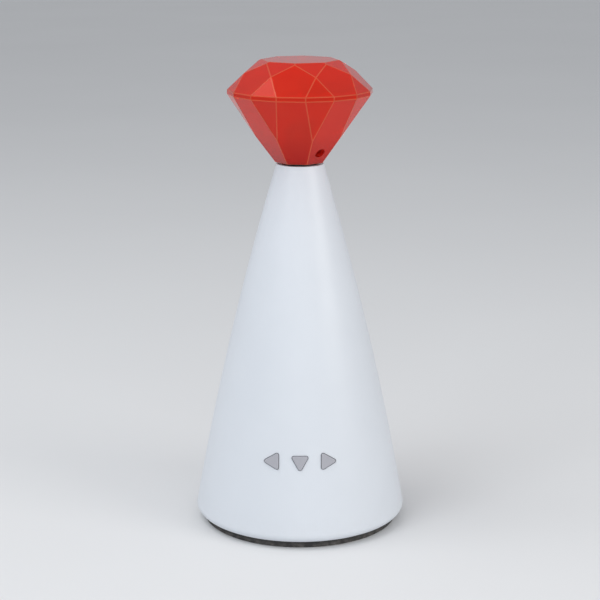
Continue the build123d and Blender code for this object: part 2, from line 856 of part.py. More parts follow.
def cell_rows():
    """Y of each cell and the end that its nub points to: neighbours point opposite ways."""
    pitch = cell_diameter + cell_gap
    return [((row - (cell_count - 1) / 2) * pitch, 1 if row % 2 == 0 else -1) for row in range(cell_count)]


def battery_cells():
    """Cells lying along X: each nub touches a plate, and each flat end a spring leaf."""
    cells = []
    end = bay_length / 2 - contact_thickness
    for place, side in cell_rows():
        body = rod(cell_diameter / 2, end - cell_nub - cell_length, end - cell_nub)
        body = chamfer(body.edges().group_by(Axis.Z)[-1], cell_gap)
        body += rod(cell_nub_radius, end - cell_nub, end)
        cells.append(Pos(0, place, cell_axis) * Rot(0, 90 * side, 0) * body)
    return cells


def contact_plates():
    end = (bay_length - contact_thickness) / 2
    plate = Box(contact_thickness, contact_side, contact_side)
    return [Pos(side * end, place, cell_axis) * plate for place, side in cell_rows()]


def contact_leaves():
    """Bent spring strips: flat on the bay's end, folded over to press on the cell."""
    half = contact_side / 2
    thick = contact_thickness
    fold = Polyline(
        (0, -half), (thick, -half), (thick, half - 2 * thick), (leaf_room - thick, 0), (leaf_room + thick, 0),
        (leaf_room + thick, thick), (thick, half), (0, half), close=True,
    )
    leaf = Rot(90, 0, 0) * extrude(make_face(fold), contact_side / 2, both=True)
    leaves = []
    for place, side in cell_rows():
        facing = 0 if side > 0 else 180
        leaves.append(Pos(-side * bay_length / 2, place, cell_axis) * Rot(0, 0, facing) * leaf)
    return leaves


def save(name, *solids):
    """Write one node: a single solid, or a group of separate ones."""
    node = solids[0] if len(solids) == 1 else Compound(list(solids))
    export_step(node, f"parts/{name}.step")


os.makedirs("parts", exist_ok=True)
gem_shell = head_shell()

save("cone_shell", cone_shell())
save("base_plate", base_plate())
save("anti_slip_ring", anti_slip_ring())
save("base_screws", *base_screws())
save("battery_door", battery_door())
save("door_screws", *door_screws())
save("battery_cells", *battery_cells())
save("contact_plates", *contact_plates())
save("contact_leaves", *contact_leaves())
for button_name in button_places:
    save(f"mode_button_{button_name}", mode_button(button_name))
save("main_board", main_board())
save("tact_switches", *tact_switches())
save("control_chip", control_chip())
save("board_connectors", *board_connectors())
save("board_screws", *board_screws())
save("gearbox_case", gearbox_case())
save("gearbox_cover", gearbox_cover())
save("gearbox_screws", *gearbox_screws())
save("gear_axles", *gear_axles())
save("first_gear", first_gear())
save("second_gear", second_gear())
save("output_gear", output_gear())
save("motor_can", motor_can())
save("motor_cap", motor_cap())
save("motor_screws", *motor_screws())
save("motor_shaft", motor_shaft())
save("motor_pinion", motor_pinion())
save("laser_module", laser_module())
save("laser_lens", laser_lens())
save("laser_driver_board", laser_driver_board())
save("drive_shaft", drive_shaft())
save("shaft_clip", shaft_clip())
save("cover_bush", cover_bush())
save("neck_bush", neck_bush())
save("mirror_carrier", mirror_carrier())
save("mirror", mirror())
save("head_bowl", head_bowl(gem_shell))
save("head_crown", head_crown(gem_shell))
print(f"height {head_top:.1f}, mirror at {mirror_height:.2f}, gearbox {case_low:.2f} to {cover_top:.2f}")
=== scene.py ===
# %% [markdown]
# # A laser toy with a turning head, dressed in Blender
#
# The toy is a white cone tower with three small buttons low on its front and a red faceted head
# that turns on top. Its solids come from a CAD model, packed as a fixed frame in metres. They could
# be rendered as they are, but flat triangles in one colour never look like a moulded toy. So the
# lesson sets a stage, mixes the finishes and remakes the pieces that the eye rests on. It hides the
# solids that these replace, and attaches each new piece to its body, where the solid stood.

# %% Load the frame
import json
import math

import bmesh
import bpy
from mathutils import Matrix, Vector
from mathutils.bvhtree import BVHTree


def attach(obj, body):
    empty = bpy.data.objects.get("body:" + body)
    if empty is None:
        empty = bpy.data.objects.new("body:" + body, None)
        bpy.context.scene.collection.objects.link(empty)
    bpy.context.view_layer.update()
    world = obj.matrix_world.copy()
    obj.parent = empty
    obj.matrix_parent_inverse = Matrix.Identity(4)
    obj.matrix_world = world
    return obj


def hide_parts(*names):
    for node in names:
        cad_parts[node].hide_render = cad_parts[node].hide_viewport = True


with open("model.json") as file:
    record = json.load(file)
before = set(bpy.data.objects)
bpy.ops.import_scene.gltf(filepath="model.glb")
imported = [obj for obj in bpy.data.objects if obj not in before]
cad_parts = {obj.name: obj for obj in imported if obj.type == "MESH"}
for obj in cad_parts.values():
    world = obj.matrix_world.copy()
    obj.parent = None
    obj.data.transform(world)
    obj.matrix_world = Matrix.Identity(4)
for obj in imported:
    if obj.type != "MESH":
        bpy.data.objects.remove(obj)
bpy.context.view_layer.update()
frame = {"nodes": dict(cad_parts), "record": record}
nodes = frame["nodes"]

# %% [markdown]
# ## The camera
#
# The toy is seen from straight in front and slightly above: its foot and the widest part of its
# head show as narrow ellipses, whose height over width gives about 14 degrees. A short lens close
# by would also fill the frame, but it would swell whatever is nearest. A long lens from further
# away keeps the sides of the tower nearly straight, as product pictures do.

# %% Camera
camera_elevation = math.radians(14)
camera_distance = 0.79
camera_target = Vector((0, 0, 0.1065))

camera_data = bpy.data.cameras.new("camera")
camera_data.lens = 100
camera_data.sensor_width = 36
camera = bpy.data.objects.new("camera", camera_data)
bpy.context.scene.collection.objects.link(camera)
towards_camera = Vector((0, -math.cos(camera_elevation), math.sin(camera_elevation)))
camera.location = camera_target + camera_distance * towards_camera
camera.rotation_euler = (-towards_camera).to_track_quat("-Z", "Y").to_euler()
bpy.context.scene.camera = camera
bpy.context.scene.view_settings.view_transform = "Standard"
print(f"camera at {tuple(round(value, 3) for value in camera.location)}")

# %% [markdown]
# ## Building node trees in code
#
# Finishes and rules of shape are both node trees. They could be drawn by hand in Blender's editors,
# but a script can be read, repeated and changed in one place, so here they are written out. Every
# tree is the same three things: nodes, their settings and the links between them. One helper feeds
# a node's inputs, each with a plain value or with another node's output, one adds a node, and one
# adds a sum, because sums turn up everywhere.

# %% Helpers for node trees


def feed(node, feeds):
    """Feed a node's inputs, each with a plain value or with another node's output."""
    for name, source in feeds.items():
        if isinstance(source, bpy.types.NodeSocket):
            node.id_data.links.new(source, node.inputs[name])
        else:
            node.inputs[name].default_value = source


def add(tree, kind, feeds=None, **settings):
    """Add a node, change its settings and feed its inputs."""
    node = tree.nodes.new(kind)
    for name, value in settings.items():
        setattr(node, name, value)
    feed(node, feeds or {})
    return node


def maths(tree, operation, *values):
    """Result of a sum of one, two or three values."""
    return add(tree, "ShaderNodeMath", dict(enumerate(values)), operation=operation).outputs[0]


print("helpers for nodes: feed, add, maths")

# %% [markdown]
# ## Starting a material
#
# Every finish begins in the same way: a material with its shader, and the object's own coordinates
# for its patterns. Patterns could also lie on an unwrapped surface, but these pieces have none, and
# coordinates in metres keep a grain as fine on a screw as on the shell. Two colours mixed by a
# mask, and noise for the mask, are what nearly every finish starts from.

# %% Helpers for materials


def start_material(name):
    """New material: itself, its tree, its shader and the object's own coordinates."""
    material = bpy.data.materials.new(name)
    material.use_nodes = True
    tree = material.node_tree
    place = add(tree, "ShaderNodeTexCoord").outputs["Object"]
    return material, tree, tree.nodes["Principled BSDF"], place


def blend(tree, mask, first, second):
    """Mix two colours by a mask."""
    return add(tree, "ShaderNodeMix", {0: mask, 6: first, 7: second}, data_type="RGBA").outputs[2]


def noise(tree, place, scale, detail):
    """Soft noise between 0 and 1."""
    feeds = {"Vector": place, "Scale": scale, "Detail": detail}
    return add(tree, "ShaderNodeTexNoise", feeds).outputs["Fac"]


print("helpers for materials: start_material, blend, noise")

# %% [markdown]
# ## The floor
#
# The toy stands on a plain pale floor. A large plane would do, but it would hide the underside with
# its battery door from every view. So the floor is a wide flat ring: its opening is narrower than
# the rubber that the toy stands on, so it never shows from above, and its paper is clear from the
# back.

# %% Floor: paper that is clear from the back
floor_paper, tree, shader, place = start_material("floor_paper")
paper_cloud = noise(tree, place, scale=3.0, detail=3.0)
paper_tone = blend(tree, paper_cloud, (0.76, 0.765, 0.775, 1), (0.8, 0.805, 0.815, 1))
feed(shader, {"Base Color": paper_tone, "Roughness": 0.9})
back = add(tree, "ShaderNodeNewGeometry").outputs["Backfacing"]
clear = add(tree, "ShaderNodeBsdfTransparent").outputs["BSDF"]
clear_back = add(tree, "ShaderNodeMixShader", {0: back, 1: shader.outputs["BSDF"], 2: clear})
feed(tree.nodes["Material Output"], {"Surface": clear_back.outputs["Shader"]})
print("mixed", floor_paper.name)

# %% Helpers for pieces made in mesh code


def bridge(work, lower, upper):
    """Faces between two loops that have as many points."""
    for number in range(len(lower)):
        after = (number + 1) % len(lower)
        work.faces.new((lower[number], lower[after], upper[after], upper[number]))


def show(piece):
    """Put a piece into the scene."""
    bpy.context.scene.collection.objects.link(piece)
    return piece


def keep(name, work, finish):
    """Turn finished bmesh work into a piece with one finish."""
    mesh = bpy.data.meshes.new(name)
    work.to_mesh(mesh)
    work.free()
    mesh.materials.clear()
    mesh.materials.append(finish)
    mesh.polygons.foreach_set("material_index", [0] * len(mesh.polygons))
    return show(bpy.data.objects.new(name, mesh))


print("helpers for meshes: bridge, show, keep")

# %% Floor: a flat ring
floor_opening, floor_reach, floor_level = 0.043, 6.0, -0.0001
floor_steps = 128

floor_work = bmesh.new()
floor_angles = [step * 2 * math.pi / floor_steps for step in range(floor_steps)]
rims = [
    [
        floor_work.verts.new((reach * math.cos(angle), reach * math.sin(angle), floor_level))
        for angle in floor_angles
    ]
    for reach in (floor_reach, floor_opening)
]
bridge(floor_work, *rims)
floor = keep("floor", floor_work, floor_paper)
print(f"floor facing {floor.data.polygons[0].normal.z:+.0f}")

# %% [markdown]
# ## Lamps
#
# White plastic looks like plastic only in soft light: a small bright lamp would burn a hard spot
# into the cone. A picture of a sky could light it too, but that is one more file to carry. Four
# large square lamps do the same: a cooler one from the upper left, one near the camera, a warmer
# one from the right and one from above. They leave the cone lightest right of its middle, with a
# soft shade on both sides.

# %% Lamps


def lamp(name, place, watts, size, tint=(1, 1, 1)):
    """Square soft lamp, aimed at the middle of the toy."""
    data = bpy.data.lights.new(name, "AREA")
    data.energy = watts
    data.size = size
    data.color = tint
    light = show(bpy.data.objects.new(name, data))
    light.location = place
    light.rotation_euler = (camera_target - Vector(place)).to_track_quat("-Z", "Y").to_euler()
    return light


lamps = [
    lamp("key", (-0.75, -0.85, 0.95), watts=3.6, size=0.7, tint=(0.9, 0.96, 1.0)),
    lamp("front", (0.2, -1.25, 0.66), watts=2.5, size=1.1),
    lamp("fill", (1.05, -0.66, 0.6), watts=5.0, size=0.7, tint=(1.0, 0.97, 0.93)),
    lamp("top", (-0.52, -0.15, 1.08), watts=3.7, size=0.7),
]
print(f"{len(lamps)} lamps, {sum(light.data.energy for light in lamps):.1f} watts")

# %% [markdown]
# ## The world
#
# Light also comes from all round, as from pale walls. One plain grey world could give it, but past
# the edge of the floor the camera would see that grey above a hard horizon. So the world has two
# tones. It lights the toy with the brighter one, and wherever a line of sight ends in it, directly,
# in a polished face or through clear plastic, it shows the tone of the far floor.

# %% World
world = bpy.data.worlds.new("studio")
world.use_nodes = True
sky = world.node_tree
sky_light = sky.nodes["Background"]
feed(sky_light, {"Color": (0.80, 0.82, 0.85, 1), "Strength": 0.62})
backdrop = add(sky, "ShaderNodeBackground", {"Color": (0.394, 0.407, 0.427, 1), "Strength": 1.0})
ray = add(sky, "ShaderNodeLightPath").outputs
mirrored = maths(sky, "MAXIMUM", ray["Is Glossy Ray"], ray["Is Transmission Ray"])
seen = maths(sky, "MAXIMUM", ray["Is Camera Ray"], mirrored)
two_tones = {0: seen, 1: sky_light.outputs["Background"], 2: backdrop.outputs["Background"]}
either = add(sky, "ShaderNodeMixShader", two_tones)
feed(sky.nodes["World Output"], {"Surface": either.outputs["Shader"]})
bpy.context.scene.world = world
print("world set, with a backdrop for lines of sight")

# %% [markdown]
# ## Shared surface effects
#
# Four effects turn up on more than one finish. They could be copied into each material, but then a
# change would have to be made many times over, so each is a shader node group with named inputs,
# placed in a material with that material's own values. The groups give masks and heights only. The
# shader that uses them stays in the material, where the export can read it.

# %% Helpers for shared effects
FLOAT, VECTOR = "NodeSocketFloat", "NodeSocketVector"


def start_group(name, kind, inputs, outputs):
    """New group of nodes: inputs are {name: (socket, default)}, outputs are {name: socket}."""
    tree = bpy.data.node_groups.new(name, kind)
    for label, (socket_type, default) in inputs.items():
        socket = tree.interface.new_socket(name=label, in_out="INPUT", socket_type=socket_type)
        if default is not None:
            socket.default_value = default
    for label, socket_type in outputs.items():
        tree.interface.new_socket(name=label, in_out="OUTPUT", socket_type=socket_type)
    return tree, tree.nodes.new("NodeGroupInput").outputs, tree.nodes.new("NodeGroupOutput")


def ranged(tree, value, old=(0.0, 1.0), new=(0.0, 1.0)):
    """Move a value from an old range to a new one, held at both ends."""
    feeds = {"Value": value}
    feeds.update(zip(("From Min", "From Max", "To Min", "To Max"), (*old, *new)))
    return add(tree, "ShaderNodeMapRange", feeds).outputs["Result"]


def coordinates(tree, place):
    """X, Y and Z of a place."""
    return add(tree, "ShaderNodeSeparateXYZ", {"Vector": place}).outputs


print("helpers for effects: start_group, ranged, coordinates")

# %% [markdown]
# ### Mould grain
#
# The skin of a mould leaves a fine grain on the plastic, and the melt that flows into it leaves
# cloudy differences in tone. The grain could be modelled, but at half a millimetre it would take
# millions of faces. Noise in two sizes does it: a fine one for the height, and one as wide as many
# grains for the tone.

# %% Group: mould grain
grains_per_cloud = 45.0
mould_grain, enter, leave = start_group(
    "mould_grain",
    "ShaderNodeTree",
    {"Vector": (VECTOR, None), "Grain Size": (FLOAT, 0.0006)},
    {"Height": FLOAT, "Tone": FLOAT},
)
per_grain = maths(mould_grain, "DIVIDE", 1.0, enter["Grain Size"])
per_cloud = maths(mould_grain, "DIVIDE", per_grain, grains_per_cloud)
feed(leave, {
    "Height": noise(mould_grain, enter["Vector"], scale=per_grain, detail=2.0),
    "Tone": noise(mould_grain, enter["Vector"], scale=per_cloud, detail=4.0),
})
print("group", mould_grain.name)

# %% [markdown]
# ### Rubbed marks
#
# Hands leave rubbed spots with hairline scratches in them. Each could be painted where a finger
# goes, but paint needs an unwrapped surface and a picture. Here a patchy noise says where the skin
# is rubbed, and a second noise, stretched until it breaks into hairs, scratches only those patches.

# %% Group: rubbed spots and hairline scratches
spot_strength = 0.35
hair_turn, hair_stretch = (0.3, 0.5, 0.8), (260.0, 5200.0, 900.0)
rubbed_marks, enter, leave = start_group(
    "rubbed_marks",
    "ShaderNodeTree",
    {"Vector": (VECTOR, None), "Spread": (FLOAT, 0.03), "Amount": (FLOAT, 0.5)},
    {"Mask": FLOAT},
)
per_spread = maths(rubbed_marks, "DIVIDE", 1.0, enter["Spread"])
spot_noise = noise(rubbed_marks, enter["Vector"], scale=per_spread, detail=3.0)
spots = ranged(rubbed_marks, spot_noise, old=(0.52, 0.7))
stretched = add(
    rubbed_marks,
    "ShaderNodeMapping",
    {"Vector": enter["Vector"], "Rotation": hair_turn, "Scale": hair_stretch},
).outputs["Vector"]
hair_noise = noise(rubbed_marks, stretched, scale=1.0, detail=1.0)
hairs = ranged(rubbed_marks, hair_noise, old=(0.6, 0.75))
scratches = maths(rubbed_marks, "MULTIPLY", spots, hairs)
marks = maths(rubbed_marks, "MULTIPLY_ADD", spots, spot_strength, scratches)
feed(leave, {"Mask": maths(rubbed_marks, "MULTIPLY", marks, enter["Amount"])})
print("group", rubbed_marks.name)

# %% [markdown]
# ### Dust low down
#
# A toy that stands on the floor gathers dust round its foot. A film of tiny grains could be strewn
# over it, but nobody looks that close. A mask is enough: specks of noise that fade out with the
# height above the floor.

# %% Group: dust low down
specks_per_metre = 420.0
floor_dust, enter, leave = start_group(
    "floor_dust",
    "ShaderNodeTree",
    {"Vector": (VECTOR, None), "Reach": (FLOAT, 0.02), "Amount": (FLOAT, 0.5)},
    {"Mask": FLOAT},
)
height = coordinates(floor_dust, enter["Vector"])["Z"]
nearness = ranged(floor_dust, height, old=(0.0, enter["Reach"]), new=(1.0, 0.0))
speck_noise = noise(floor_dust, enter["Vector"], scale=specks_per_metre, detail=5.0)
specks = ranged(floor_dust, speck_noise, old=(0.4, 0.75))
settled = maths(floor_dust, "MULTIPLY", nearness, specks)
feed(leave, {"Mask": maths(floor_dust, "MULTIPLY", settled, enter["Amount"])})
print("group", floor_dust.name)

# %% [markdown]
# ### Tool lines in metal
#
# A lathe or a die leaves fine parallel lines in metal, and the plating on it clouds a little. A
# stretched gloss, which Blender calls anisotropic, could hint at the lines, but none of them would
# show from close by. So a wave across the height draws them, and noise clouds the tone.

# %% Group: tool lines in metal
wave_length = 0.3  # of the wave texture when its scale is 1, nearly
tool_lines, enter, leave = start_group(
    "tool_lines",
    "ShaderNodeTree",
    {"Vector": (VECTOR, None), "Pitch": (FLOAT, 0.0003)},
    {"Height": FLOAT, "Tone": FLOAT},
)
lines = add(
    tool_lines,
    "ShaderNodeTexWave",
    {
        "Vector": enter["Vector"],
        "Scale": maths(tool_lines, "DIVIDE", wave_length, enter["Pitch"]),
        "Distortion": 1.5,
        "Detail": 2.0,
        "Detail Scale": 1.5,
    },
    bands_direction="Z",
).outputs["Fac"]
bloom = noise(tool_lines, enter["Vector"], scale=350.0, detail=4.0)
feed(leave, {"Height": lines, "Tone": bloom})
print("group", tool_lines.name)

# %% [markdown]
# ## Moulded plastics
#
# Most of the toy is moulded: a satin white shell, matt grey buttons, a plainer base, gears in the
# natural colour of their plastic. Each could have a material of its own making, but they differ in
# tone, gloss and grain, not in kind. So one recipe mixes them all: two close tones clouded into
# each other, the mould grain as a bump, a gloss that rubbing changes, and dust near the floor.

# %% Helpers that put an effect on a surface


def effect(tree, group, feeds):
    """Place a shared effect in a material, and give back its outputs."""
    return add(tree, "ShaderNodeGroup", feeds, node_tree=group).outputs


def bumped(tree, height, strength, distance):
    """Normal of a surface that this height roughens."""
    feeds = {"Height": height, "Strength": strength, "Distance": distance}
    return add(tree, "ShaderNodeBump", feeds).outputs["Normal"]


print("helpers for surfaces: effect, bumped")

# %% Recipe for moulded plastic
dust_tone = (0.42, 0.38, 0.33, 1)
grain_strength = 0.35
plastic_ior = 1.5


def moulded_plastic(name, deep, pale, gloss, grain_size, grain_depth, rubbing=0.3, dust=0.0):
    """Plastic between two tones; gloss is its roughness in clear places and where rubbed."""
    material, tree, shader, place = start_material(name)
    grain = effect(tree, mould_grain, {"Vector": place, "Grain Size": grain_size})
    rubbed = effect(tree, rubbed_marks, {"Vector": place, "Amount": rubbing})
    dusty = effect(tree, floor_dust, {"Vector": place, "Amount": dust})
    colour = blend(tree, grain["Tone"], (*deep, 1), (*pale, 1))
    feed(shader, {
        "Base Color": blend(tree, dusty["Mask"], colour, dust_tone),
        "Roughness": ranged(tree, rubbed["Mask"], new=gloss),
        "Normal": bumped(tree, grain["Height"], grain_strength, grain_depth),
        "IOR": plastic_ior,
    })
    return material


print("recipe ready: moulded_plastic")

# %% Mix the plastics
plastics = {
    "white_shell": dict(
        deep=(0.68, 0.715, 0.765), pale=(0.72, 0.755, 0.805), gloss=(0.38, 0.52),
        grain_size=0.00045, grain_depth=0.00003, rubbing=0.35, dust=0.06,
    ),
    "grey_button": dict(
        deep=(0.36, 0.365, 0.40), pale=(0.43, 0.43, 0.47), gloss=(0.5, 0.36),
        grain_size=0.0003, grain_depth=0.00005, rubbing=0.5,
    ),
    "base_plastic": dict(
        deep=(0.58, 0.6, 0.63), pale=(0.65, 0.67, 0.7), gloss=(0.55, 0.42),
        grain_size=0.0007, grain_depth=0.00008, rubbing=0.5, dust=0.25,
    ),
    "nylon": dict(
        deep=(0.72, 0.7, 0.63), pale=(0.8, 0.78, 0.71), gloss=(0.42, 0.34),
        grain_size=0.0006, grain_depth=0.00003,
    ),
    "black_plastic": dict(
        deep=(0.012, 0.012, 0.014), pale=(0.022, 0.022, 0.025), gloss=(0.5, 0.4),
        grain_size=0.0004, grain_depth=0.00004,
    ),
}
finishes = {name: moulded_plastic(name, **recipe) for name, recipe in plastics.items()}
print("plastics:", ", ".join(finishes))

# %% [markdown]
# ## The gem's red
#
# The head is a hollow moulding in clear red plastic: light passes its polished facets, bends, and
# comes back redder from the far side. Red glass would be the plain way, but such plastic is never
# quite clear, so only a part of its light is let through, with the plastic's own refractive index.
# The red is painted darker near the foot, as painted shade. Along the rounded ridges it is painted
# lighter and more orange, as a painted highlight, and an attribute on their faces, made with the
# head, says where they are. The shine is tinted too, so that even the brightest facets stay red.

# %% Mix the gem's red
red_gem, tree, shader, place = start_material("red_gem")
swirl = effect(tree, mould_grain, {"Vector": place, "Grain Size": 0.0005})
fingered = effect(tree, rubbed_marks, {"Vector": place, "Amount": 0.6, "Spread": 0.012})
clear_red = blend(tree, swirl["Tone"], (0.96, 0.03, 0.014, 1), (0.99, 0.06, 0.027, 1))
height = coordinates(tree, place)["Z"]
# painted shade: the red gets darker towards the foot of the head
painted_shade_near_foot = ranged(tree, height, old=(0.173, 0.188), new=(1.0, 0.0))
shaded_red = blend(tree, painted_shade_near_foot, clear_red, (0.72, 0.014, 0.008, 1))
# painted highlight: the rounded ridges are painted a lighter, more orange red
ridge_highlight = add(tree, "ShaderNodeAttribute", attribute_name="ridge_highlight").outputs["Fac"]
feed(shader, {
    "Base Color": blend(tree, ridge_highlight, shaded_red, (1.0, 0.17, 0.08, 1)),
    "Roughness": ranged(tree, fingered["Mask"], new=(0.035, 0.11)),
    "Normal": bumped(tree, swirl["Tone"], strength=0.1, distance=0.0003),
    "Transmission Weight": 0.54,
    "Specular IOR Level": 0.4,
    "Specular Tint": (1.0, 0.36, 0.3, 1),
    "IOR": plastic_ior,
})
finishes["red_gem"] = red_gem
print("mixed", red_gem.name)

# %% [markdown]
# ## Rubber
#
# The anti-slip ring is soft dark rubber. The plastic's recipe in black would come near it, but
# rubber has hardly any gloss and a pitted skin that picks up grey dust. So it gets a mix of its
# own, in which the pits set both the bump and the roughness.

# %% Mix the rubber
dark_rubber, tree, shader, place = start_material("dark_rubber")
pits = effect(tree, mould_grain, {"Vector": place, "Grain Size": 0.0004})
dusty = effect(tree, floor_dust, {"Vector": place, "Amount": 0.5, "Reach": 0.004})
rubber_tone = blend(tree, pits["Tone"], (0.022, 0.021, 0.021, 1), (0.045, 0.043, 0.042, 1))
feed(shader, {
    "Base Color": blend(tree, dusty["Mask"], rubber_tone, (0.25, 0.23, 0.21, 1)),
    "Roughness": ranged(tree, pits["Height"], new=(0.66, 0.9)),
    "Normal": bumped(tree, pits["Height"], strength=0.5, distance=0.0001),
})
finishes["dark_rubber"] = dark_rubber
print("mixed", dark_rubber.name)

# %% [markdown]
# ## Metals
#
# Screws, axles and contacts are plated steel; the laser's barrel, a bush and the motor's pinion are
# turned brass. A plain metallic colour would look like paint. One recipe gives both their tool
# lines, and a bloom that dulls the colour and the gloss in the same places, as handling does.

# %% Mix the metals


def bare_metal(name, dull, bright, gloss, pitch):
    """Metal with tool lines and a bloom; gloss is its roughness in bright and in dull places."""
    material, tree, shader, place = start_material(name)
    tooled = effect(tree, tool_lines, {"Vector": place, "Pitch": pitch})
    feed(shader, {
        "Base Color": blend(tree, tooled["Tone"], (*bright, 1), (*dull, 1)),
        "Roughness": ranged(tree, tooled["Tone"], new=gloss),
        "Normal": bumped(tree, tooled["Height"], strength=0.2, distance=0.00002),
        "Metallic": 1.0,
    })
    return material


finishes["steel"] = bare_metal(
    "steel", dull=(0.42, 0.42, 0.43), bright=(0.6, 0.6, 0.62), gloss=(0.22, 0.45), pitch=0.0003
)
finishes["brass"] = bare_metal(
    "brass", dull=(0.55, 0.38, 0.16), bright=(0.78, 0.58, 0.28), gloss=(0.2, 0.4), pitch=0.0002
)
print("metals: steel, brass")

# %% [markdown]
# ## The boards' green
#
# The circuit boards wear a green lacquer over copper traces, with bare tinned pads. Real traces
# follow a circuit and could be drawn one by one, but the boards sit in the dark behind the buttons.
# A brick pattern gives rows of traces that stand up a little, and the middles of a pattern of
# cells give the pads.

# %% Mix the boards' green
board_green, tree, shader, place = start_material("board_green")
traces = add(
    tree,
    "ShaderNodeTexBrick",
    {
        "Vector": place,
        "Scale": 260.0,
        "Mortar Size": 0.06,
        "Brick Width": 1.6,
        "Row Height": 0.35,
        "Color1": (0.012, 0.1, 0.045, 1),
        "Color2": (0.015, 0.12, 0.055, 1),
        "Mortar": (0.03, 0.2, 0.09, 1),
    },
).outputs
pads = add(tree, "ShaderNodeTexVoronoi", {"Vector": place, "Scale": 330.0}).outputs["Distance"]
pad_mask = ranged(tree, pads, old=(0.2, 0.16))
feed(shader, {
    "Base Color": blend(tree, pad_mask, traces["Color"], (0.5, 0.47, 0.42, 1)),
    "Roughness": ranged(tree, traces["Fac"], new=(0.28, 0.4)),
    "Normal": bumped(tree, traces["Fac"], strength=0.4, distance=0.00004),
})
finishes["board_green"] = board_green
print("mixed", board_green.name)

# %% [markdown]
# ## The cells' film
#
# Three cells lie side by side, and the middle one points the other way. Their film is plain, with a
# narrow pale ring near each nub and bare metal at both ends. Each cell could have its own material,
# but they are one solid group with one finish. So the pattern reads the X coordinate, turned round
# for the middle cell by how near it lies to the toy's axis.

# %% Mix the cells' film
outer_cells_from = 0.0055
ring_from, nub_from, bare_until = 0.0185, 0.0232, -0.0192
cell_jacket, tree, shader, place = start_material("cell_jacket")
where = coordinates(tree, place)
outer_cell = maths(tree, "GREATER_THAN", maths(tree, "ABSOLUTE", where["Y"]), outer_cells_from)
facing = maths(tree, "SUBTRACT", maths(tree, "MULTIPLY", outer_cell, 2.0), 1.0)
along = maths(tree, "MULTIPLY", where["X"], facing)
pale_ring = maths(tree, "GREATER_THAN", along, ring_from)
near_nub = maths(tree, "GREATER_THAN", along, nub_from)
bare_end = maths(tree, "MAXIMUM", near_nub, maths(tree, "LESS_THAN", along, bare_until))
film_grain = effect(tree, mould_grain, {"Vector": place, "Grain Size": 0.0004})
film = blend(tree, film_grain["Tone"], (0.07, 0.09, 0.14, 1), (0.09, 0.115, 0.17, 1))
ringed = blend(tree, pale_ring, film, (0.42, 0.44, 0.47, 1))
feed(shader, {
    "Base Color": blend(tree, bare_end, ringed, (0.6, 0.6, 0.61, 1)),
    "Metallic": bare_end,
    "Roughness": ranged(tree, film_grain["Height"], new=(0.24, 0.36)),
})
finishes["cell_jacket"] = cell_jacket
print("mixed", cell_jacket.name)

# %% [markdown]
# ## Lens and mirror
#
# A small glass lens closes the laser's barrel, and a silvered mirror stands in the head. Both could
# be perfect in a computer, but perfectly clean glass looks like a hole. So the lens has a faint
# bloom, and the mirror a few smears that dull its silver and its gloss together.

# %% Mix the lens and the mirror
glass_ior = 1.52
lens_glass, tree, shader, place = start_material("lens_glass")
bloom = effect(tree, mould_grain, {"Vector": place, "Grain Size": 0.0001})
feed(shader, {
    "Base Color": blend(tree, bloom["Tone"], (0.93, 0.95, 0.97, 1), (0.97, 0.97, 0.99, 1)),
    "Roughness": ranged(tree, bloom["Height"], new=(0.01, 0.04)),
    "Transmission Weight": 1.0,
    "IOR": glass_ior,
})
finishes["lens_glass"] = lens_glass

silvered, tree, shader, place = start_material("silvered")
smear = effect(tree, rubbed_marks, {"Vector": place, "Amount": 0.8, "Spread": 0.003})
feed(shader, {
    "Base Color": blend(tree, smear["Mask"], (0.88, 0.89, 0.9, 1), (0.75, 0.76, 0.78, 1)),
    "Roughness": ranged(tree, smear["Mask"], new=(0.02, 0.2)),
    "Metallic": 1.0,
})
finishes["silvered"] = silvered
print("finishes:", ", ".join(sorted(finishes)))

# %% [markdown]
# ## Dressing the solids
#
# Gears, axles, motor and boards are right as packed and need only their finish. They could be
# dressed one by one, but the record already names a finish for each solid, so one loop puts it into
# the solid's material slot. Pieces made further down replace some of them.

# %% Give every solid its finish
for subpart in frame["record"]["subparts"]:
    nodes[subpart["node"]].data.materials[0] = finishes[subpart["material_slot"]]

# %% [markdown]
# ## Growing pieces from rules
#
# Some pieces repeat, like screws, and some follow a rule, like a turned shell. They could be
# modelled point by point in mesh code, but a Geometry Nodes tree states the rule itself, with its
# sizes as named inputs that are easy to change. A tree runs as a modifier on a carrier mesh, and
# its sizes are set through the sockets' identifiers before anything is evaluated. The result is
# copied to a plain mesh, because the frame and the export want meshes with no live tree on them.

# %% Helper that starts a tree
GEOMETRY, INTEGER = "NodeSocketGeometry", "NodeSocketInt"


def start_rule(name, sizes, more_inputs=None):
    """New geometry tree with these named sizes among its inputs."""
    inputs = dict(more_inputs or {})
    for size, value in sizes.items():
        inputs[size] = (INTEGER if isinstance(value, int) else FLOAT, value)
    return start_group(name, "GeometryNodeTree", inputs, {"Geometry": GEOMETRY})


print("helper for rules: start_rule")

# %% Helper that runs a tree


def grow(name, tree, sizes, points=()):
    """Run a geometry tree with these named sizes, on these points, and keep a plain mesh."""
    carrier_mesh = bpy.data.meshes.new("carrier")
    carrier_mesh.from_pydata(points, [], [])
    carrier = show(bpy.data.objects.new("carrier", carrier_mesh))
    modifier = carrier.modifiers.new("rule", "NODES")
    modifier.node_group = tree
    inputs = [item for item in tree.interface.items_tree if item.in_out == "INPUT"]
    identifiers = {item.name: item.identifier for item in inputs}
    for size, value in sizes.items():
        modifier[identifiers[size]] = value
    graph = bpy.context.evaluated_depsgraph_get()
    mesh = bpy.data.meshes.new_from_object(carrier.evaluated_get(graph))
    mesh.name = name
    bpy.data.objects.remove(carrier)
    bpy.data.meshes.remove(carrier_mesh)
    return show(bpy.data.objects.new(name, mesh))


print("helper for rules: grow")

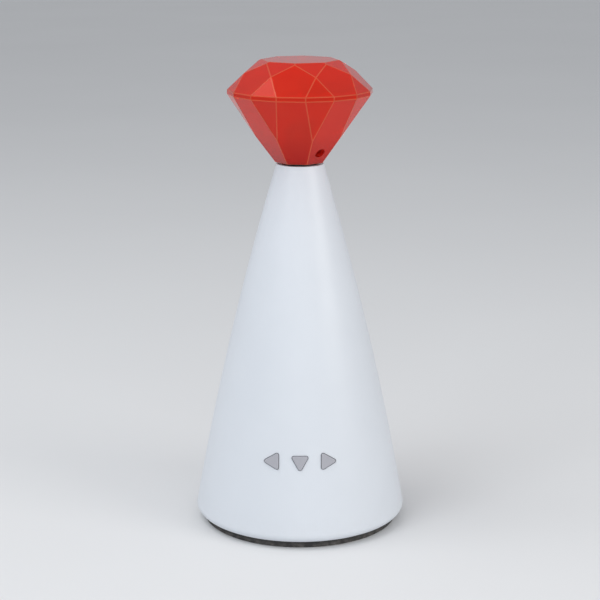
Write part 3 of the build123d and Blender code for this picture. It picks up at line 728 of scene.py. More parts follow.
# %% [markdown]
# ## The end of every tree
#
# A moulded or turned piece is smooth where it curves and crisp where two faces meet at an angle. An
# angle could be set on the finished mesh, but inside the tree the same rule serves every piece that
# grows from it. So each tree ends alike: instances become real geometry, edges that bend gently are
# shaded smooth, and the finish is set.

# %% Helper that ends a tree


def end_tree(tree, leave, geometry, finish, sharp_angle=30.0):
    """Real instances, smooth shading up to an angle in degrees, and the finish."""
    real = add(tree, "GeometryNodeRealizeInstances", {"Geometry": geometry}).outputs[0]
    bend = add(tree, "GeometryNodeInputMeshEdgeAngle").outputs["Unsigned Angle"]
    gentle = maths(tree, "LESS_THAN", bend, math.radians(sharp_angle))
    shading = {0: real, "Shade Smooth": gentle}
    smooth = add(tree, "GeometryNodeSetShadeSmooth", shading, domain="EDGE").outputs[0]
    dressed = add(tree, "GeometryNodeSetMaterial", {"Geometry": smooth, "Material": finish})
    feed(leave, {"Geometry": dressed.outputs[0]})


print("helper for rules: end_tree")

# %% [markdown]
# ## A lathe
#
# Shell, ring and screws are all round, made by turning one profile about an axis. Blender's Screw
# modifier could turn it, but it can't stand inside a tree, and there is no node for it. So the
# lathe is a group made from a grid. Each column of the grid copies the profile's points by their
# number and turns them a little further than the column before. The last row repeats the first
# point, which closes the profile, and merging closes the seam. A profile that climbs on the outside
# gives faces that look out.

# %% Group: lathe, from a grid's points to a profile's points
lathe, enter, leave = start_group(
    "lathe",
    "GeometryNodeTree",
    {"Profile": (GEOMETRY, None), "Segments": (INTEGER, 128)},
    {"Mesh": GEOMETRY},
)
point_count = add(
    lathe, "GeometryNodeAttributeDomainSize", {0: enter["Profile"]}, component="MESH"
).outputs[0]
rows = maths(lathe, "ADD", point_count, 1.0)
columns = maths(lathe, "ADD", enter["Segments"], 1.0)
sheet = add(lathe, "GeometryNodeMeshGrid", {"Vertices X": columns, "Vertices Y": rows})
number = add(lathe, "GeometryNodeInputIndex").outputs[0]
safe_number = maths(lathe, "ADD", number, 0.5)  # half a point further, against rounding errors
column = maths(lathe, "FLOOR", maths(lathe, "DIVIDE", safe_number, rows))
row = maths(lathe, "SUBTRACT", number, maths(lathe, "MULTIPLY", column, rows))
wrapped = maths(lathe, "MODULO", row, point_count)
position = add(lathe, "GeometryNodeInputPosition").outputs[0]
profile_point = add(
    lathe,
    "GeometryNodeSampleIndex",
    {"Geometry": enter["Profile"], "Value": position, "Index": wrapped},
    data_type="FLOAT_VECTOR",
).outputs[0]
print(f"lathe: {len(lathe.nodes)} nodes find the points")

# %% Group: lathe, points turned round the axis
merge_distance = 1e-6
one_step = maths(lathe, "DIVIDE", 2 * math.pi, enter["Segments"])
turning = {"Vector": profile_point, "Angle": maths(lathe, "MULTIPLY", column, one_step)}
turned_point = add(lathe, "ShaderNodeVectorRotate", turning, rotation_type="Z_AXIS").outputs[0]
spun = add(
    lathe, "GeometryNodeSetPosition", {"Geometry": sheet.outputs["Mesh"], "Position": turned_point}
).outputs[0]
closed = add(lathe, "GeometryNodeMergeByDistance", {"Geometry": spun, "Distance": merge_distance})
feed(leave, {"Mesh": closed.outputs[0]})
print("group", lathe.name)

# %% [markdown]
# ## Drawing profiles
#
# A profile is the half section of a turned piece: arcs and straight lines, one after the other. It
# could be typed in as a list of points, but then a changed size would mean a new list. Curve nodes
# draw each arc from the tree's own inputs, and joining them in order keeps the points in order,
# which is what the lathe counts on. It also draws the straight runs between two parts.

# %% Helpers that draw the parts of a profile
quarter_turn = math.pi / 2


def point(tree, **values):
    """Point made of single coordinates."""
    return add(tree, "ShaderNodeCombineXYZ", values).outputs[0]


def profile_arc(tree, centre, radius, start, sweep, count):
    """Points along an arc in the XZ plane."""
    arc = add(
        tree,
        "GeometryNodeCurveArc",
        {"Resolution": count, "Radius": radius, "Start Angle": start, "Sweep Angle": sweep},
        mode="RADIUS",
    ).outputs["Curve"]
    upright = {"Geometry": arc, "Translation": centre, "Rotation": (quarter_turn, 0, 0)}
    placed = add(tree, "GeometryNodeTransform", upright).outputs[0]
    return add(tree, "GeometryNodeCurveToMesh", {"Curve": placed}).outputs[0]


def profile_line(tree, start, end):
    """Two points, one after the other."""
    line = add(tree, "GeometryNodeCurvePrimitiveLine", {"Start": start, "End": end}).outputs[0]
    return add(tree, "GeometryNodeCurveToMesh", {"Curve": line}).outputs[0]


print("helpers for profiles: point, profile_arc, profile_line")

# %% Helpers that join the parts and spin them


def join(tree, *parts):
    """Join geometry in the order given; of two links, the later one comes first."""
    joined = parts[0]
    for part in parts[1:]:
        both = tree.nodes.new("GeometryNodeJoinGeometry")
        tree.links.new(part, both.inputs[0])
        tree.links.new(joined, both.inputs[0])
        joined = both.outputs[0]
    return joined


def spin(tree, profile, segments):
    """Piece turned from a profile on the lathe."""
    feeds = {"Profile": profile, "Segments": segments}
    return add(tree, "GeometryNodeGroup", feeds, node_tree=lathe).outputs[0]


print("helpers for profiles: join, spin")

# %% [markdown]
# ## The cone's rule
#
# The side of the shell isn't straight: it is one long arc that leaves the rounded foot without a
# kink, bulges a little and ends at the neck. It could be traced by eye, but then the buttons would
# not sit true on it, so it is worked out from the same sizes as the solid. How much the side leans
# at the foot decides where it leaves the rounding, and the other way round, so the lean is found in
# turns.

# %% Sizes of the cone
millimetre = 0.001
foot_radius = 50 * millimetre
foot_edge = 3.4 * millimetre
ring_stand = 3.2 * millimetre
cone_height = 172 * millimetre
neck_radius = 11 * millimetre
side_bulge = 2.4 * millimetre
shell_wall = 2.2 * millimetre
neck_wall = 3 * millimetre
bush_hole = 6.53 * millimetre
print(f"cone {cone_height:.3f} m high on a foot {2 * foot_radius:.3f} m across")

# %% Work out the side's arc
lean_rounds = 20
lip_radius = foot_radius - foot_edge
edge_centre = Vector((lip_radius, 0, ring_stand + foot_edge))
lean = 0.0
for _ in range(lean_rounds):
    side_start = edge_centre + foot_edge * Vector((math.cos(lean), 0, math.sin(lean)))
    run, rise = side_start.x - neck_radius, cone_height - side_start.z
    chord = math.hypot(run, rise)
    lean = math.atan2(run, rise) - 2 * math.atan(2 * side_bulge / chord)
side_arc = chord**2 / (8 * side_bulge) + side_bulge / 2  # radius from chord and bulge
side_centre = side_start - side_arc * Vector((math.cos(lean), 0, math.sin(lean)))


def side_angle(height, inset=0.0):
    """Angle on the side's arc at a height, on a surface moved in by inset."""
    return math.asin((height - side_centre.z) / (side_arc - inset))


def side_radius(height, inset=0.0):
    """Radius of the side at a height, on a surface moved in by inset."""
    return side_centre.x + (side_arc - inset) * math.cos(side_angle(height, inset))


print(f"lean {math.degrees(lean):.2f} degrees, arc {side_arc:.3f} m")

# %% [markdown]
# ## The cone shell
#
# The shell is one thin-walled moulding. A cone given thickness by the Solidify modifier would come
# near it, but the neck is thicker than the side and has a bush's hole in it. So the whole wall is
# one profile: up round the foot and the outside, over the neck into the hole, and down the inside.
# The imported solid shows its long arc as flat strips, and many narrow ones look round.

# %% Sizes of the button windows
button_height, button_pitch = 41 * millimetre, 12.3 * millimetre
button_radius, button_corner = 4.9 * millimetre, 0.8 * millimetre
window_gap = 0.25 * millimetre
window_sizes = {
    "Window Radius": button_radius + 2 * window_gap,  # corners move out twice as far as sides
    "Window Corner": button_corner + window_gap,
    "Window Pitch": button_pitch,
    "Window Height": button_height,
    "Window Tilt": side_angle(button_height),
    "Window Face": side_radius(button_height),
}
print(f"windows {window_sizes['Window Radius']:.4f} m from middle to corner")

# %% Tree: cone shell, its inputs
cone_sizes = {
    "Lip Radius": lip_radius,
    "Edge Radius": foot_edge,
    "Stand": ring_stand,
    "Lean": lean,
    "Side Arc": side_arc,
    "Neck Angle": side_angle(cone_height),
    "Inner Neck Angle": side_angle(cone_height - neck_wall, shell_wall),
    "Wall": shell_wall,
    "Height": cone_height,
    "Neck Wall": neck_wall,
    "Bush Radius": bush_hole,
    **window_sizes,
    "Segments": 256,
}
cone_tree, enter, leave = start_rule("cone_shell_rule", cone_sizes)
print(f"{cone_tree.name} has {len(cone_sizes)} sizes")

# %% Tree: cone shell, middles of its two arcs
lean_way = point(
    cone_tree,
    X=maths(cone_tree, "COSINE", enter["Lean"]),
    Z=maths(cone_tree, "SINE", enter["Lean"]),
)
edge_height = maths(cone_tree, "ADD", enter["Stand"], enter["Edge Radius"])
edge_middle = point(cone_tree, X=enter["Lip Radius"], Z=edge_height)
to_side_middle = maths(cone_tree, "SUBTRACT", enter["Edge Radius"], enter["Side Arc"])
way_back = add(
    cone_tree, "ShaderNodeVectorMath", {0: lean_way, "Scale": to_side_middle}, operation="SCALE"
).outputs[0]
side_middle = add(
    cone_tree, "ShaderNodeVectorMath", {0: edge_middle, 1: way_back}, operation="ADD"
).outputs[0]
print(f"{len(cone_tree.nodes)} nodes find the middles")

# %% Tree: cone shell, up the outside
edge_points, side_points = 14, 120
edge_sweep = maths(cone_tree, "ADD", enter["Lean"], quarter_turn)
outer_edge = profile_arc(
    cone_tree, edge_middle, enter["Edge Radius"], -quarter_turn, edge_sweep, edge_points
)
side_sweep = maths(cone_tree, "SUBTRACT", enter["Neck Angle"], enter["Lean"])
outer_side = profile_arc(
    cone_tree, side_middle, enter["Side Arc"], enter["Lean"], side_sweep, side_points
)
print(f"outside: {edge_points} points round the foot, {side_points} up the side")

# %% Tree: cone shell, into the bush's hole
bush_top = point(cone_tree, X=enter["Bush Radius"], Z=enter["Height"])
under_neck = maths(cone_tree, "SUBTRACT", enter["Height"], enter["Neck Wall"])
bush_low = point(cone_tree, X=enter["Bush Radius"], Z=under_neck)
bush_wall = profile_line(cone_tree, bush_top, bush_low)
print("hole: 2 points")

# %% Tree: cone shell, down the inside
inner_side_points, inner_edge_points = 60, 6
inner_arc = maths(cone_tree, "SUBTRACT", enter["Side Arc"], enter["Wall"])
inner_start = enter["Inner Neck Angle"]
inner_sweep = maths(cone_tree, "SUBTRACT", enter["Lean"], inner_start)
inner_side = profile_arc(
    cone_tree, side_middle, inner_arc, inner_start, inner_sweep, inner_side_points
)
inner_edge_radius = maths(cone_tree, "SUBTRACT", enter["Edge Radius"], enter["Wall"])
back_sweep = maths(cone_tree, "MULTIPLY", edge_sweep, -1.0)
inner_edge = profile_arc(
    cone_tree, edge_middle, inner_edge_radius, enter["Lean"], back_sweep, inner_edge_points
)
profile = join(cone_tree, outer_edge, outer_side, bush_wall, inner_side, inner_edge)
wall = spin(cone_tree, profile, enter["Segments"])
print(f"inside: {inner_side_points} points down the side, {inner_edge_points} round the foot")

# %% [markdown]
# ## Windows for the buttons
#
# Three triangular windows let the buttons through the shell. Faces could be deleted by hand, but
# the wall is thick, and the windows need walls of their own. So plugs are cut out of it: one
# three-sided circle with rounded corners is drawn out along a line and placed three times. Each
# next plug turns by a quarter, which points them left, down and right.

# %% Tree: one window plug
plug_reach, corner_steps = 0.015, 8
three_sided = add(
    cone_tree,
    "GeometryNodeCurvePrimitiveCircle",
    {"Resolution": 3, "Radius": enter["Window Radius"]},
    mode="RADIUS",
).outputs[0]
fillet = {"Count": corner_steps, "Radius": enter["Window Corner"], "Limit Radius": True}
triangle = add(
    cone_tree, "GeometryNodeFilletCurve", {"Curve": three_sided, **fillet}, mode="POLY"
).outputs[0]
through = add(
    cone_tree,
    "GeometryNodeCurvePrimitiveLine",
    {"Start": (0, 0, -plug_reach), "End": (0, 0, plug_reach)},
).outputs[0]
plug = add(
    cone_tree,
    "GeometryNodeCurveToMesh",
    {"Curve": through, "Profile Curve": triangle, "Fill Caps": True},
).outputs[0]
print(f"plug {2 * plug_reach} m long")

# %% Tree: three window plugs in a row
first_place = point(cone_tree, X=maths(cone_tree, "MULTIPLY", enter["Window Pitch"], -1.0))
next_place = point(cone_tree, X=enter["Window Pitch"])
places = add(
    cone_tree,
    "GeometryNodeMeshLine",
    {"Count": 3, "Start Location": first_place, "Offset": next_place},
).outputs[0]
number = add(cone_tree, "GeometryNodeInputIndex").outputs[0]
quarter_turns = maths(cone_tree, "MULTIPLY", number, quarter_turn)
pointing = point(cone_tree, Z=maths(cone_tree, "ADD", quarter_turns, math.pi))
plugs = add(
    cone_tree,
    "GeometryNodeInstanceOnPoints",
    {"Points": places, "Instance": plug, "Rotation": pointing},
).outputs[0]
print("three plugs in a row")

# %% Cut the windows and grow the shell's skin


def cut(tree, body, tool):
    """Body with the shape of a tool taken out of it."""
    both = {"Mesh 1": body, "Mesh 2": tool}
    settings = {"operation": "DIFFERENCE", "solver": "EXACT"}
    return add(tree, "GeometryNodeMeshBoolean", both, **settings).outputs[0]


window_turn = point(cone_tree, X=maths(cone_tree, "SUBTRACT", quarter_turn, enter["Window Tilt"]))
window_front = maths(cone_tree, "MULTIPLY", enter["Window Face"], -1.0)
window_place = point(cone_tree, Y=window_front, Z=enter["Window Height"])
real_plugs = add(cone_tree, "GeometryNodeRealizeInstances", {"Geometry": plugs}).outputs[0]
cutters = add(
    cone_tree,
    "GeometryNodeTransform",
    {"Geometry": real_plugs, "Rotation": window_turn, "Translation": window_place},
).outputs[0]
end_tree(cone_tree, leave, cut(cone_tree, wall, cutters), finishes["white_shell"])
cone_skin = grow("cone_skin", cone_tree, cone_sizes)
print(f"cone skin: {len(cone_skin.data.polygons)} faces")

# %% [markdown]
# ## Bosses inside the shell
#
# Inside, the shell has bosses that screws bite into. They could be modelled again, but they follow
# no simple rule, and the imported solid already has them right, so they are taken from it. A copy is
# merged and loses each face that lies along the skin made above and looks the same way, or that is
# a sliver with every corner on it. The open ends of what is left are closed, and only then can the
# normals be made to point outwards.

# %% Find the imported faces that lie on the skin
near, touching, same_way = 0.15 * millimetre, 0.05 * millimetre, 0.9


def merged_copy(node):
    """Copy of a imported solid, its loose triangles merged."""
    work = bmesh.new()
    work.from_mesh(nodes[node].data)
    bmesh.ops.remove_doubles(work, verts=work.verts, dist=merge_distance)
    return work


def on_skin(face):
    """Whether a face lies along the skin, or is a sliver with every corner on it."""
    _, skin_normal, _, distance = skin_search.find_nearest(face.calc_center_median())
    along = distance < near and face.normal.dot(skin_normal) > same_way
    return along or all(skin_search.find_nearest(vertex.co)[3] < touching for vertex in face.verts)


skin_work = bmesh.new()
skin_work.from_mesh(cone_skin.data)
skin_search = BVHTree.FromBMesh(skin_work)
boss_work = merged_copy("cone_shell")
skin_faces = [face for face in boss_work.faces if on_skin(face)]
skin_work.free()
print(f"{len(skin_faces)} of {len(boss_work.faces)} faces lie on the skin")

# %% Keep the bosses


def smooth_up_to(piece, sharp_angle):
    """Shade a piece smooth, apart from edges that bend by more than an angle in degrees."""
    piece.data.shade_smooth()
    piece.data.set_sharp_from_angle(angle=math.radians(sharp_angle))


bmesh.ops.delete(boss_work, geom=skin_faces, context="FACES")
open_edges = [edge for edge in boss_work.edges if edge.is_boundary]
bmesh.ops.holes_fill(boss_work, edges=open_edges, sides=0)
bmesh.ops.recalc_face_normals(boss_work, faces=boss_work.faces)
shell_bosses = keep("shell_bosses", boss_work, finishes["white_shell"])
smooth_up_to(shell_bosses, sharp_angle=30)
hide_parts("cone_shell")
for piece in (cone_skin, shell_bosses):
    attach(piece, "tower")
print(f"bosses: {len(shell_bosses.data.polygons)} faces")

# %% [markdown]
# ## The faceted head
#
# The head is cut like a brilliant: eight main facets below and above its widest part, the girdle,
# with pairs of smaller facets between them and a star round the flat top. A block could be cut by
# planes once more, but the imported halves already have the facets. What they lack is the rounding
# where moulded facets meet, and it is the rounding that glints. So the halves are copied, and the
# planes are worked out again only to tell the ridges of the outside from the edges inside.

# %% Heights and radii of the head, in millimetres
head_foot, girdle_low, head_seam, girdle_high, head_top = 173.0, 204.5, 205.5, 206.5, 220.0
head_foot_radius, girdle_radius, table_radius = 11.0, 33.0, 18.5
pavilion_break, crown_break, table_trim = 12, 8, 0.5
facet_count, head_turn = 8, -52.0
half_step = 180 / facet_count
ridge_factor = 1 / math.cos(math.radians(half_step))


def between(low, high, height):
    """Radius at a height on the line through two (radius, height) points."""
    return low[0] + (high[0] - low[0]) * (height - low[1]) / (high[1] - low[1])


pavilion = ((head_foot_radius, head_foot), (girdle_radius, girdle_low))
crown = ((girdle_radius, girdle_high), (table_radius, head_top))
low_height, high_height = head_foot + pavilion_break, girdle_high + crown_break
low_point = (between(*pavilion, low_height) * ridge_factor, low_height)
high_point = (between(*crown, high_height) * ridge_factor, high_height)
table_point = (table_radius / ridge_factor - table_trim, head_top)
print(f"ridges stand {ridge_factor:.3f} times as far out as the flats")

# %% Planes of the facets
facet_rows = [
    (0.0, *pavilion),
    (half_step, low_point, pavilion[1]),
    (0.0, *crown),
    (half_step, crown[0], high_point),
    (half_step, high_point, table_point),
    (0.0, pavilion[1], crown[0]),
    (half_step, pavilion[1], crown[0]),
]
upwards = Vector((0, 0, 1))
gem_planes = [(upwards, head_top * millimetre), (-upwards, -head_foot * millimetre)]
for offset, low, high in facet_rows:
    across = Vector((high[1] - low[1], 0, low[0] - high[0])).normalized()
    for number in range(facet_count):
        turn = Matrix.Rotation(math.radians(head_turn + offset + number * 2 * half_step), 3, "Z")
        outwards = turn @ across
        reach = outwards.dot(turn @ Vector((low[0], 0, low[1])))
        gem_planes.append((outwards, reach * millimetre))
print(f"{len(gem_planes)} planes cut the gem")

# %% Helpers that test points and edges
outside_tolerance = 0.004 * millimetre


def on_outside(spot):
    """Whether a point lies on the gem's outer surface."""
    return max(normal.dot(spot) - reach for normal, reach in gem_planes) > -outside_tolerance


def on_seam(spot):
    """Whether a point lies on the outer rim where the two halves meet."""
    return abs(spot.z - head_seam * millimetre) < merge_distance and on_outside(spot)


def bends(edge, degrees):
    """Whether the two faces of an edge meet at more than an angle."""
    return edge.is_manifold and edge.calc_face_angle() > math.radians(degrees)


print("helpers for tests: on_outside, on_seam, bends")

# %% Helpers that find the ridges and the seam
ridge_bend = 4


def ridges(work):
    """Edges where two faces of the outside meet at an angle."""
    outer_faces = {face for face in work.faces if on_outside(face.calc_center_median())}
    bent = [edge for edge in work.edges if bends(edge, ridge_bend)]
    return [edge for edge in bent if all(face in outer_faces for face in edge.link_faces)]


def seam_edges(work):
    """Outer edges of the face where the two halves meet."""
    bent = [edge for edge in work.edges if bends(edge, ridge_bend)]
    return [edge for edge in bent if all(on_seam(vertex.co) for vertex in edge.verts)]


print("helpers for the head: ridges, seam_edges")

# %% Helper that makes flat faces whole
flatness = 0.3


def flat_copy(node):
    """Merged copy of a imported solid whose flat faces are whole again."""
    work = merged_copy(node)
    bmesh.ops.dissolve_limit(
        work,
        angle_limit=math.radians(flatness),
        use_dissolve_boundaries=False,
        verts=work.verts,
        edges=work.edges,
    )
    return work


print("helper for copies: flat_copy")

# %% Helper that rounds edges


def round_edges(work, edges, width, segments):
    """Bevel these edges and give back the new faces."""
    return bmesh.ops.bevel(
        work,
        geom=edges,
        offset=width,
        offset_type="OFFSET",
        segments=segments,
        profile=0.5,
        affect="EDGES",
        clamp_overlap=True,
    )["faces"]


print("helper for bevels: round_edges")

# %% Bevel the ridges of both halves
ridge_width, ridge_segments = 0.28 * millimetre, 3
seam_width, seam_segments = 0.12 * millimetre, 1
for node in ("head_bowl", "head_crown"):
    half = flat_copy(node)
    # the rounded ridges' faces are marked for the painted highlight in the gem's red
    ridge_highlight_mask = half.faces.layers.float.new("ridge_highlight")
    for face in round_edges(half, ridges(half), ridge_width, ridge_segments):
        face[ridge_highlight_mask] = 1.0
    round_edges(half, seam_edges(half), seam_width, seam_segments)
    piece = keep(node.replace("head", "gem"), half, finishes["red_gem"])
    piece.data.shade_flat()
    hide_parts(node)
    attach(piece, "head")
    print(f"{piece.name}: {len(piece.data.polygons)} faces")

# %% [markdown]
# ## The mode buttons
#
# Each button is a rounded triangle that follows the curve of the cone and stands a little proud,
# with a flange behind the wall that stops it from falling out, and a round stem. A flat prism could
# be cut by the cone, but its edge would stay sharp. So the button is lofted: one outline is drawn
# at several margins and levels, from the stem to the middle of the cap, and neighbouring outlines
# are joined by faces. Narrow steps near the top round the edge that a finger feels.

# %% Where the buttons sit
settle_rounds = 8
button_tilt = side_angle(button_height)
button_origin = Vector((0, -side_radius(button_height), button_height))
button_right = Vector((1, 0, 0))
button_up = Vector((0, math.sin(button_tilt), math.cos(button_tilt)))
button_out = Vector((0, -math.cos(button_tilt), math.sin(button_tilt)))


def on_cone(across, up, proud):
    """Point over the buttons' plane that stands proud of the cone's side by that much."""
    depth = proud
    for _ in range(settle_rounds):
        spot = button_origin + across * button_right + up * button_up + depth * button_out
        depth += side_radius(spot.z, -proud) - math.hypot(spot.x, spot.y)
    return spot


print(f"buttons lean back by {math.degrees(button_tilt):.1f} degrees")

# %% Outline of a button
least_corner = 0.15 * millimetre
arc_steps, side_steps = 8, 6
third_turn, sixth_turn = 2 * math.pi / 3, math.pi / 3


def on_circle(angle):
    """Point on a circle of radius 1."""
    return Vector((math.cos(angle), math.sin(angle)))


def rounded_triangle(pointing, margin):
    """Outline of the button widened by a margin: each corner an arc, each side a few points."""
    bend = max(button_corner + margin, least_corner)
    reach = button_radius + 2 * margin - 2 * bend
    outline = []
    for corner in range(3):
        way = pointing + corner * third_turn
        centre, next_centre = reach * on_circle(way), reach * on_circle(way + third_turn)
        for step in range(arc_steps + 1):
            angle = way - sixth_turn + step * 2 * sixth_turn / arc_steps
            outline.append(centre + bend * on_circle(angle))
        lift = bend * on_circle(way + sixth_turn)
        for step in range(1, side_steps):
            outline.append(centre.lerp(next_centre, step / side_steps) + lift)
    return outline


print(f"outline of {len(rounded_triangle(0.0, 0.0))} points")

# %% Margins and levels of a button's outlines
flange_low, flange_high, overhang = -3.6 * millimetre, -2.4 * millimetre, 1.6 * millimetre
proud, soft_edge = 0.8 * millimetre, 0.35 * millimetre
edge_steps = 4
cap_insets = (0.25, 0.6, 1.0, 1.4)
levels = [
    (overhang, flange_low),
    (overhang, flange_high),
    (0.0, flange_high),
    (0.0, proud - soft_edge),
]
for step in range(1, edge_steps + 1):
    angle = step * quarter_turn / edge_steps
    inset, drop = soft_edge * (1 - math.cos(angle)), soft_edge * (1 - math.sin(angle))
    levels.append((-inset, proud - drop))
levels += [(-soft_edge - inset * millimetre, proud) for inset in cap_insets]
print(f"{len(levels)} outlines from flange to cap")

# %% Helper that lofts a button
stem_depth, stem_radius = 7.4 * millimetre, 2 * millimetre


def loft_button(middle, pointing):
    """Button as bmesh: loops from the end of its stem, over the flange, to the cap's middle."""
    stem = [stem_radius * spot.normalized() for spot in rounded_triangle(pointing, overhang)]
    stem_end = button_origin - stem_depth * button_out
    loops = [
        [stem_end + (middle + spot.x) * button_right + spot.y * button_up for spot in stem],
        [on_cone(middle + spot.x, spot.y, flange_low) for spot in stem],
    ]
    for margin, level in levels:
        outline = rounded_triangle(pointing, margin)
        loops.append([on_cone(middle + spot.x, spot.y, level) for spot in outline])
    work = bmesh.new()
    rings = [[work.verts.new(spot) for spot in loop] for loop in loops]
    for lower, upper in zip(rings, rings[1:]):
        bridge(work, lower, upper)
    work.faces.new(rings[-1])
    work.faces.new(list(reversed(rings[0])))
    bmesh.ops.recalc_face_normals(work, faces=work.faces)
    return work


print("helper for buttons: loft_button")

# %% Make the three buttons
for number, side in enumerate(("left", "middle", "right")):
    work = loft_button((number - 1) * button_pitch, math.pi * (1 + number / 2))
    piece = keep(f"button_cap_{side}", work, finishes["grey_button"])
    smooth_up_to(piece, sharp_angle=35)
    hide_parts(f"mode_button_{side}")
    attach(piece, f"button_{side}")
    print(f"{piece.name}: {len(piece.data.polygons)} faces")

# %% [markdown]
# ## The anti-slip ring
#
# The ring is a rubber band in a groove of the base, with one groove round its tread. It is a turned
# piece again, so the lathe makes it. Its section could be three rectangles that overlap, but that
# leaves faces inside the rubber. So it is one closed profile: six rounded corners joined in order,
# and the floor of the groove between the two treads. The lathe draws the straight runs.

# %% Tree: anti-slip ring, its inputs
ring_sizes = {
    "Outer Radius": 46.2 * millimetre,
    "Width": 4.2 * millimetre,
    "Height": 4.2 * millimetre,
    "Groove Width": 0.8 * millimetre,
    "Groove Depth": 0.8 * millimetre,
    "Rounding": 0.4 * millimetre,
    "Segments": 192,
}
ring_tree, enter, leave = start_rule("anti_slip_ring_rule", ring_sizes)
outer_radius, rounding = enter["Outer Radius"], enter["Rounding"]
inner_radius = maths(ring_tree, "SUBTRACT", outer_radius, enter["Width"])
both_radii = maths(ring_tree, "ADD", inner_radius, outer_radius)
ring_middle = maths(ring_tree, "MULTIPLY", both_radii, 0.5)
half_groove = maths(ring_tree, "MULTIPLY", enter["Groove Width"], 0.5)
groove_inside = maths(ring_tree, "SUBTRACT", ring_middle, half_groove)
groove_outside = maths(ring_tree, "ADD", ring_middle, half_groove)
under_top = maths(ring_tree, "SUBTRACT", enter["Height"], rounding)
print(f"{ring_tree.name} has {len(ring_sizes)} sizes")

# %% Tree: anti-slip ring, its section
ring_corner_points, ring_sharp_angle = 5, 50.0


def ring_corner(radius, way, height, start):
    """Quarter circle whose centre is one rounding away from a radius, outwards or inwards."""
    centre = point(ring_tree, X=maths(ring_tree, way, radius, rounding), Z=height)
    return profile_arc(ring_tree, centre, rounding, start, quarter_turn, ring_corner_points)


groove_floor = profile_line(
    ring_tree,
    point(ring_tree, X=groove_inside, Z=enter["Groove Depth"]),
    point(ring_tree, X=groove_outside, Z=enter["Groove Depth"]),
)
ring_profile = join(
    ring_tree,
    ring_corner(outer_radius, "SUBTRACT", rounding, -quarter_turn),
    ring_corner(outer_radius, "SUBTRACT", under_top, 0.0),
    ring_corner(inner_radius, "ADD", under_top, quarter_turn),
    ring_corner(inner_radius, "ADD", rounding, math.pi),
    ring_corner(groove_inside, "SUBTRACT", rounding, -quarter_turn),
    groove_floor,
    ring_corner(groove_outside, "ADD", rounding, math.pi),
)
band = spin(ring_tree, ring_profile, enter["Segments"])
end_tree(ring_tree, leave, band, finishes["dark_rubber"], ring_sharp_angle)
print(f"{len(ring_tree.nodes)} nodes draw the ring")

# %% Grow the ring
grip_ring = grow("grip_ring", ring_tree, ring_sizes)
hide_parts("anti_slip_ring")
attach(grip_ring, "tower")
print(f"{grip_ring.name}: {len(grip_ring.data.polygons)} faces")

# %% [markdown]
# ## Screws under the foot
#
# Four screws hold the base and two smaller ones the battery door. They could be modelled once and
# copied by hand, but no two screws are driven to the same angle, and the two kinds differ only in
# their sizes. So one tree makes them all: a pan head and shank spun on the lathe, a cross recess
# cut into the head, and a copy on each point of the carrier, turned at random from a fixed seed.
# The door's screws come away with the door, so they are grown apart and ride on it.

# %% Tree: screws, their inputs
base_sizes = {
    "Head Radius": 2.5 * millimetre,
    "Head Height": 1.6 * millimetre,
    "Shank Radius": 1.25 * millimetre,
    "Length": 11 * millimetre,
    "Recess Width": 0.6 * millimetre,
    "Recess Depth": 0.8 * millimetre,
    "Seed": 3,
}
screw_tree, enter, leave = start_rule(
    "cross_screw_rule", base_sizes, {"Places": (GEOMETRY, None)}
)
print(f"{screw_tree.name} has {len(base_sizes)} sizes")

# %% Tree: screws, the turned blank
dome_share, dome_points, screw_segments = 0.5, 8, 48
first_step = 0.0001  # a line needs two points, so one more lies close to the axis
head_radius, head_height = enter["Head Radius"], enter["Head Height"]
shank_radius = enter["Shank Radius"]
dome = maths(screw_tree, "MULTIPLY", head_height, dome_share)
dome_middle = point(screw_tree, X=maths(screw_tree, "SUBTRACT", head_radius, dome), Z=dome)
end_height = maths(screw_tree, "ADD", head_height, enter["Length"])
axis_start = profile_line(screw_tree, (0, 0, 0), (first_step, 0, 0))
side_of_head = profile_arc(
    screw_tree, dome_middle, dome, -quarter_turn, quarter_turn, dome_points
)
under_head = profile_line(
    screw_tree,
    point(screw_tree, X=head_radius, Z=head_height),
    point(screw_tree, X=shank_radius, Z=head_height),
)
shank_end = profile_line(
    screw_tree, point(screw_tree, X=shank_radius, Z=end_height), point(screw_tree, Z=end_height)
)
screw_profile = join(screw_tree, axis_start, side_of_head, under_head, shank_end)
blank = spin(screw_tree, screw_profile, screw_segments)
print(f"blank in {screw_segments} segments")

# %% Tree: screws, the cross recess
slot_share = 1.2
slot_width = enter["Recess Width"]
slot_length = maths(screw_tree, "MULTIPLY", head_radius, slot_share)
slot_height = maths(screw_tree, "MULTIPLY", enter["Recess Depth"], 2.0)
recessed = blank
for across, along in ((slot_length, slot_width), (slot_width, slot_length)):
    slot_size = point(screw_tree, X=across, Y=along, Z=slot_height)
    slot = add(screw_tree, "GeometryNodeMeshCube", {"Size": slot_size}).outputs[0]
    recessed = cut(screw_tree, recessed, slot)
print("two slots cross in the head")

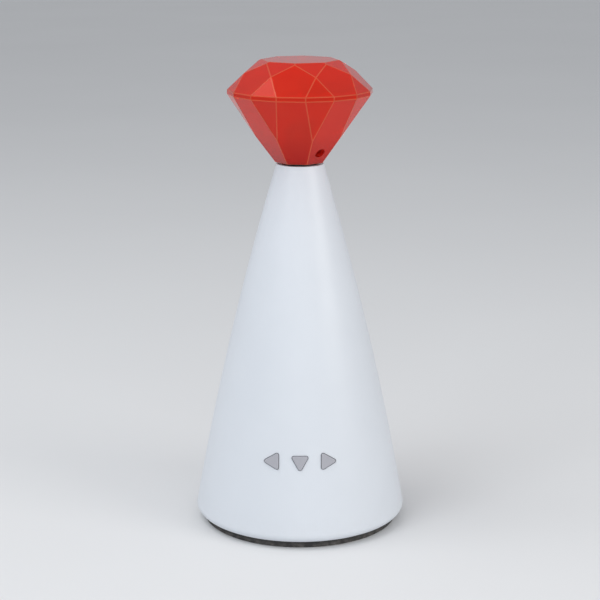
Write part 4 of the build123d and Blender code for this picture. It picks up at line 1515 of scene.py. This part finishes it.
# %% Tree: screws, one on each point
driven = add(
    screw_tree,
    "FunctionNodeRandomValue",
    {"Max": 2 * math.pi, "Seed": enter["Seed"]},
    data_type="FLOAT",
)
driven_turn = [socket for socket in driven.outputs if socket.enabled][0]
screw_turn = point(screw_tree, Z=driven_turn)
screws = add(
    screw_tree,
    "GeometryNodeInstanceOnPoints",
    {"Points": enter["Places"], "Instance": recessed, "Rotation": screw_turn},
).outputs[0]
end_tree(screw_tree, leave, screws, finishes["steel"])
print(f"{len(screw_tree.nodes)} nodes make the screws")

# %% Drive the screws
base_circle, base_azimuths = 38.9 * millimetre, (60, 120, 240, 300)
door_reach = 20.15 * millimetre
door_sizes = {
    **base_sizes,
    "Head Radius": 1.9 * millimetre,
    "Head Height": 1.2 * millimetre,
    "Shank Radius": 0.95 * millimetre,
    "Length": 4.8 * millimetre,
    "Seed": 8,
}
base_places = [
    (base_circle * math.cos(angle), base_circle * math.sin(angle), ring_stand)
    for angle in (math.radians(azimuth) for azimuth in base_azimuths)
]
door_places = [(0, side * door_reach, ring_stand) for side in (-1, 1)]
for node, body, places, sizes in (
    ("base_screws", "tower", base_places, base_sizes),
    ("door_screws", "battery_door", door_places, door_sizes),
):
    piece = grow("cross_" + node, screw_tree, sizes, places)
    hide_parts(node)
    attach(piece, body)
    print(f"{piece.name}: {len(piece.data.polygons)} faces")

# %% [markdown]
# ## Base plate and battery door
#
# Both are right as packed, only too sharp: no mould has perfectly sharp edges, and a bare corner
# catches no light. A Bevel modifier would soften them too, but it would have to be applied before
# the hand-over, and the helpers for the head already do the same work. So flat copies get a narrow
# bevel on every outward edge that turns by more than a gentle bend.

# %% Soften the plate and the door
soft_bend, soft_width, soft_segments = 45, 0.2 * millimetre, 2
for node, body in (("base_plate", "tower"), ("battery_door", "battery_door")):
    work = flat_copy(node)
    sharp = [edge for edge in work.edges if edge.is_convex and bends(edge, soft_bend)]
    round_edges(work, sharp, soft_width, soft_segments)
    piece = keep("soft_" + node, work, finishes["base_plastic"])
    smooth_up_to(piece, sharp_angle=25)
    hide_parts(node)
    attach(piece, body)
    print(f"{piece.name}: {len(piece.data.polygons)} faces")
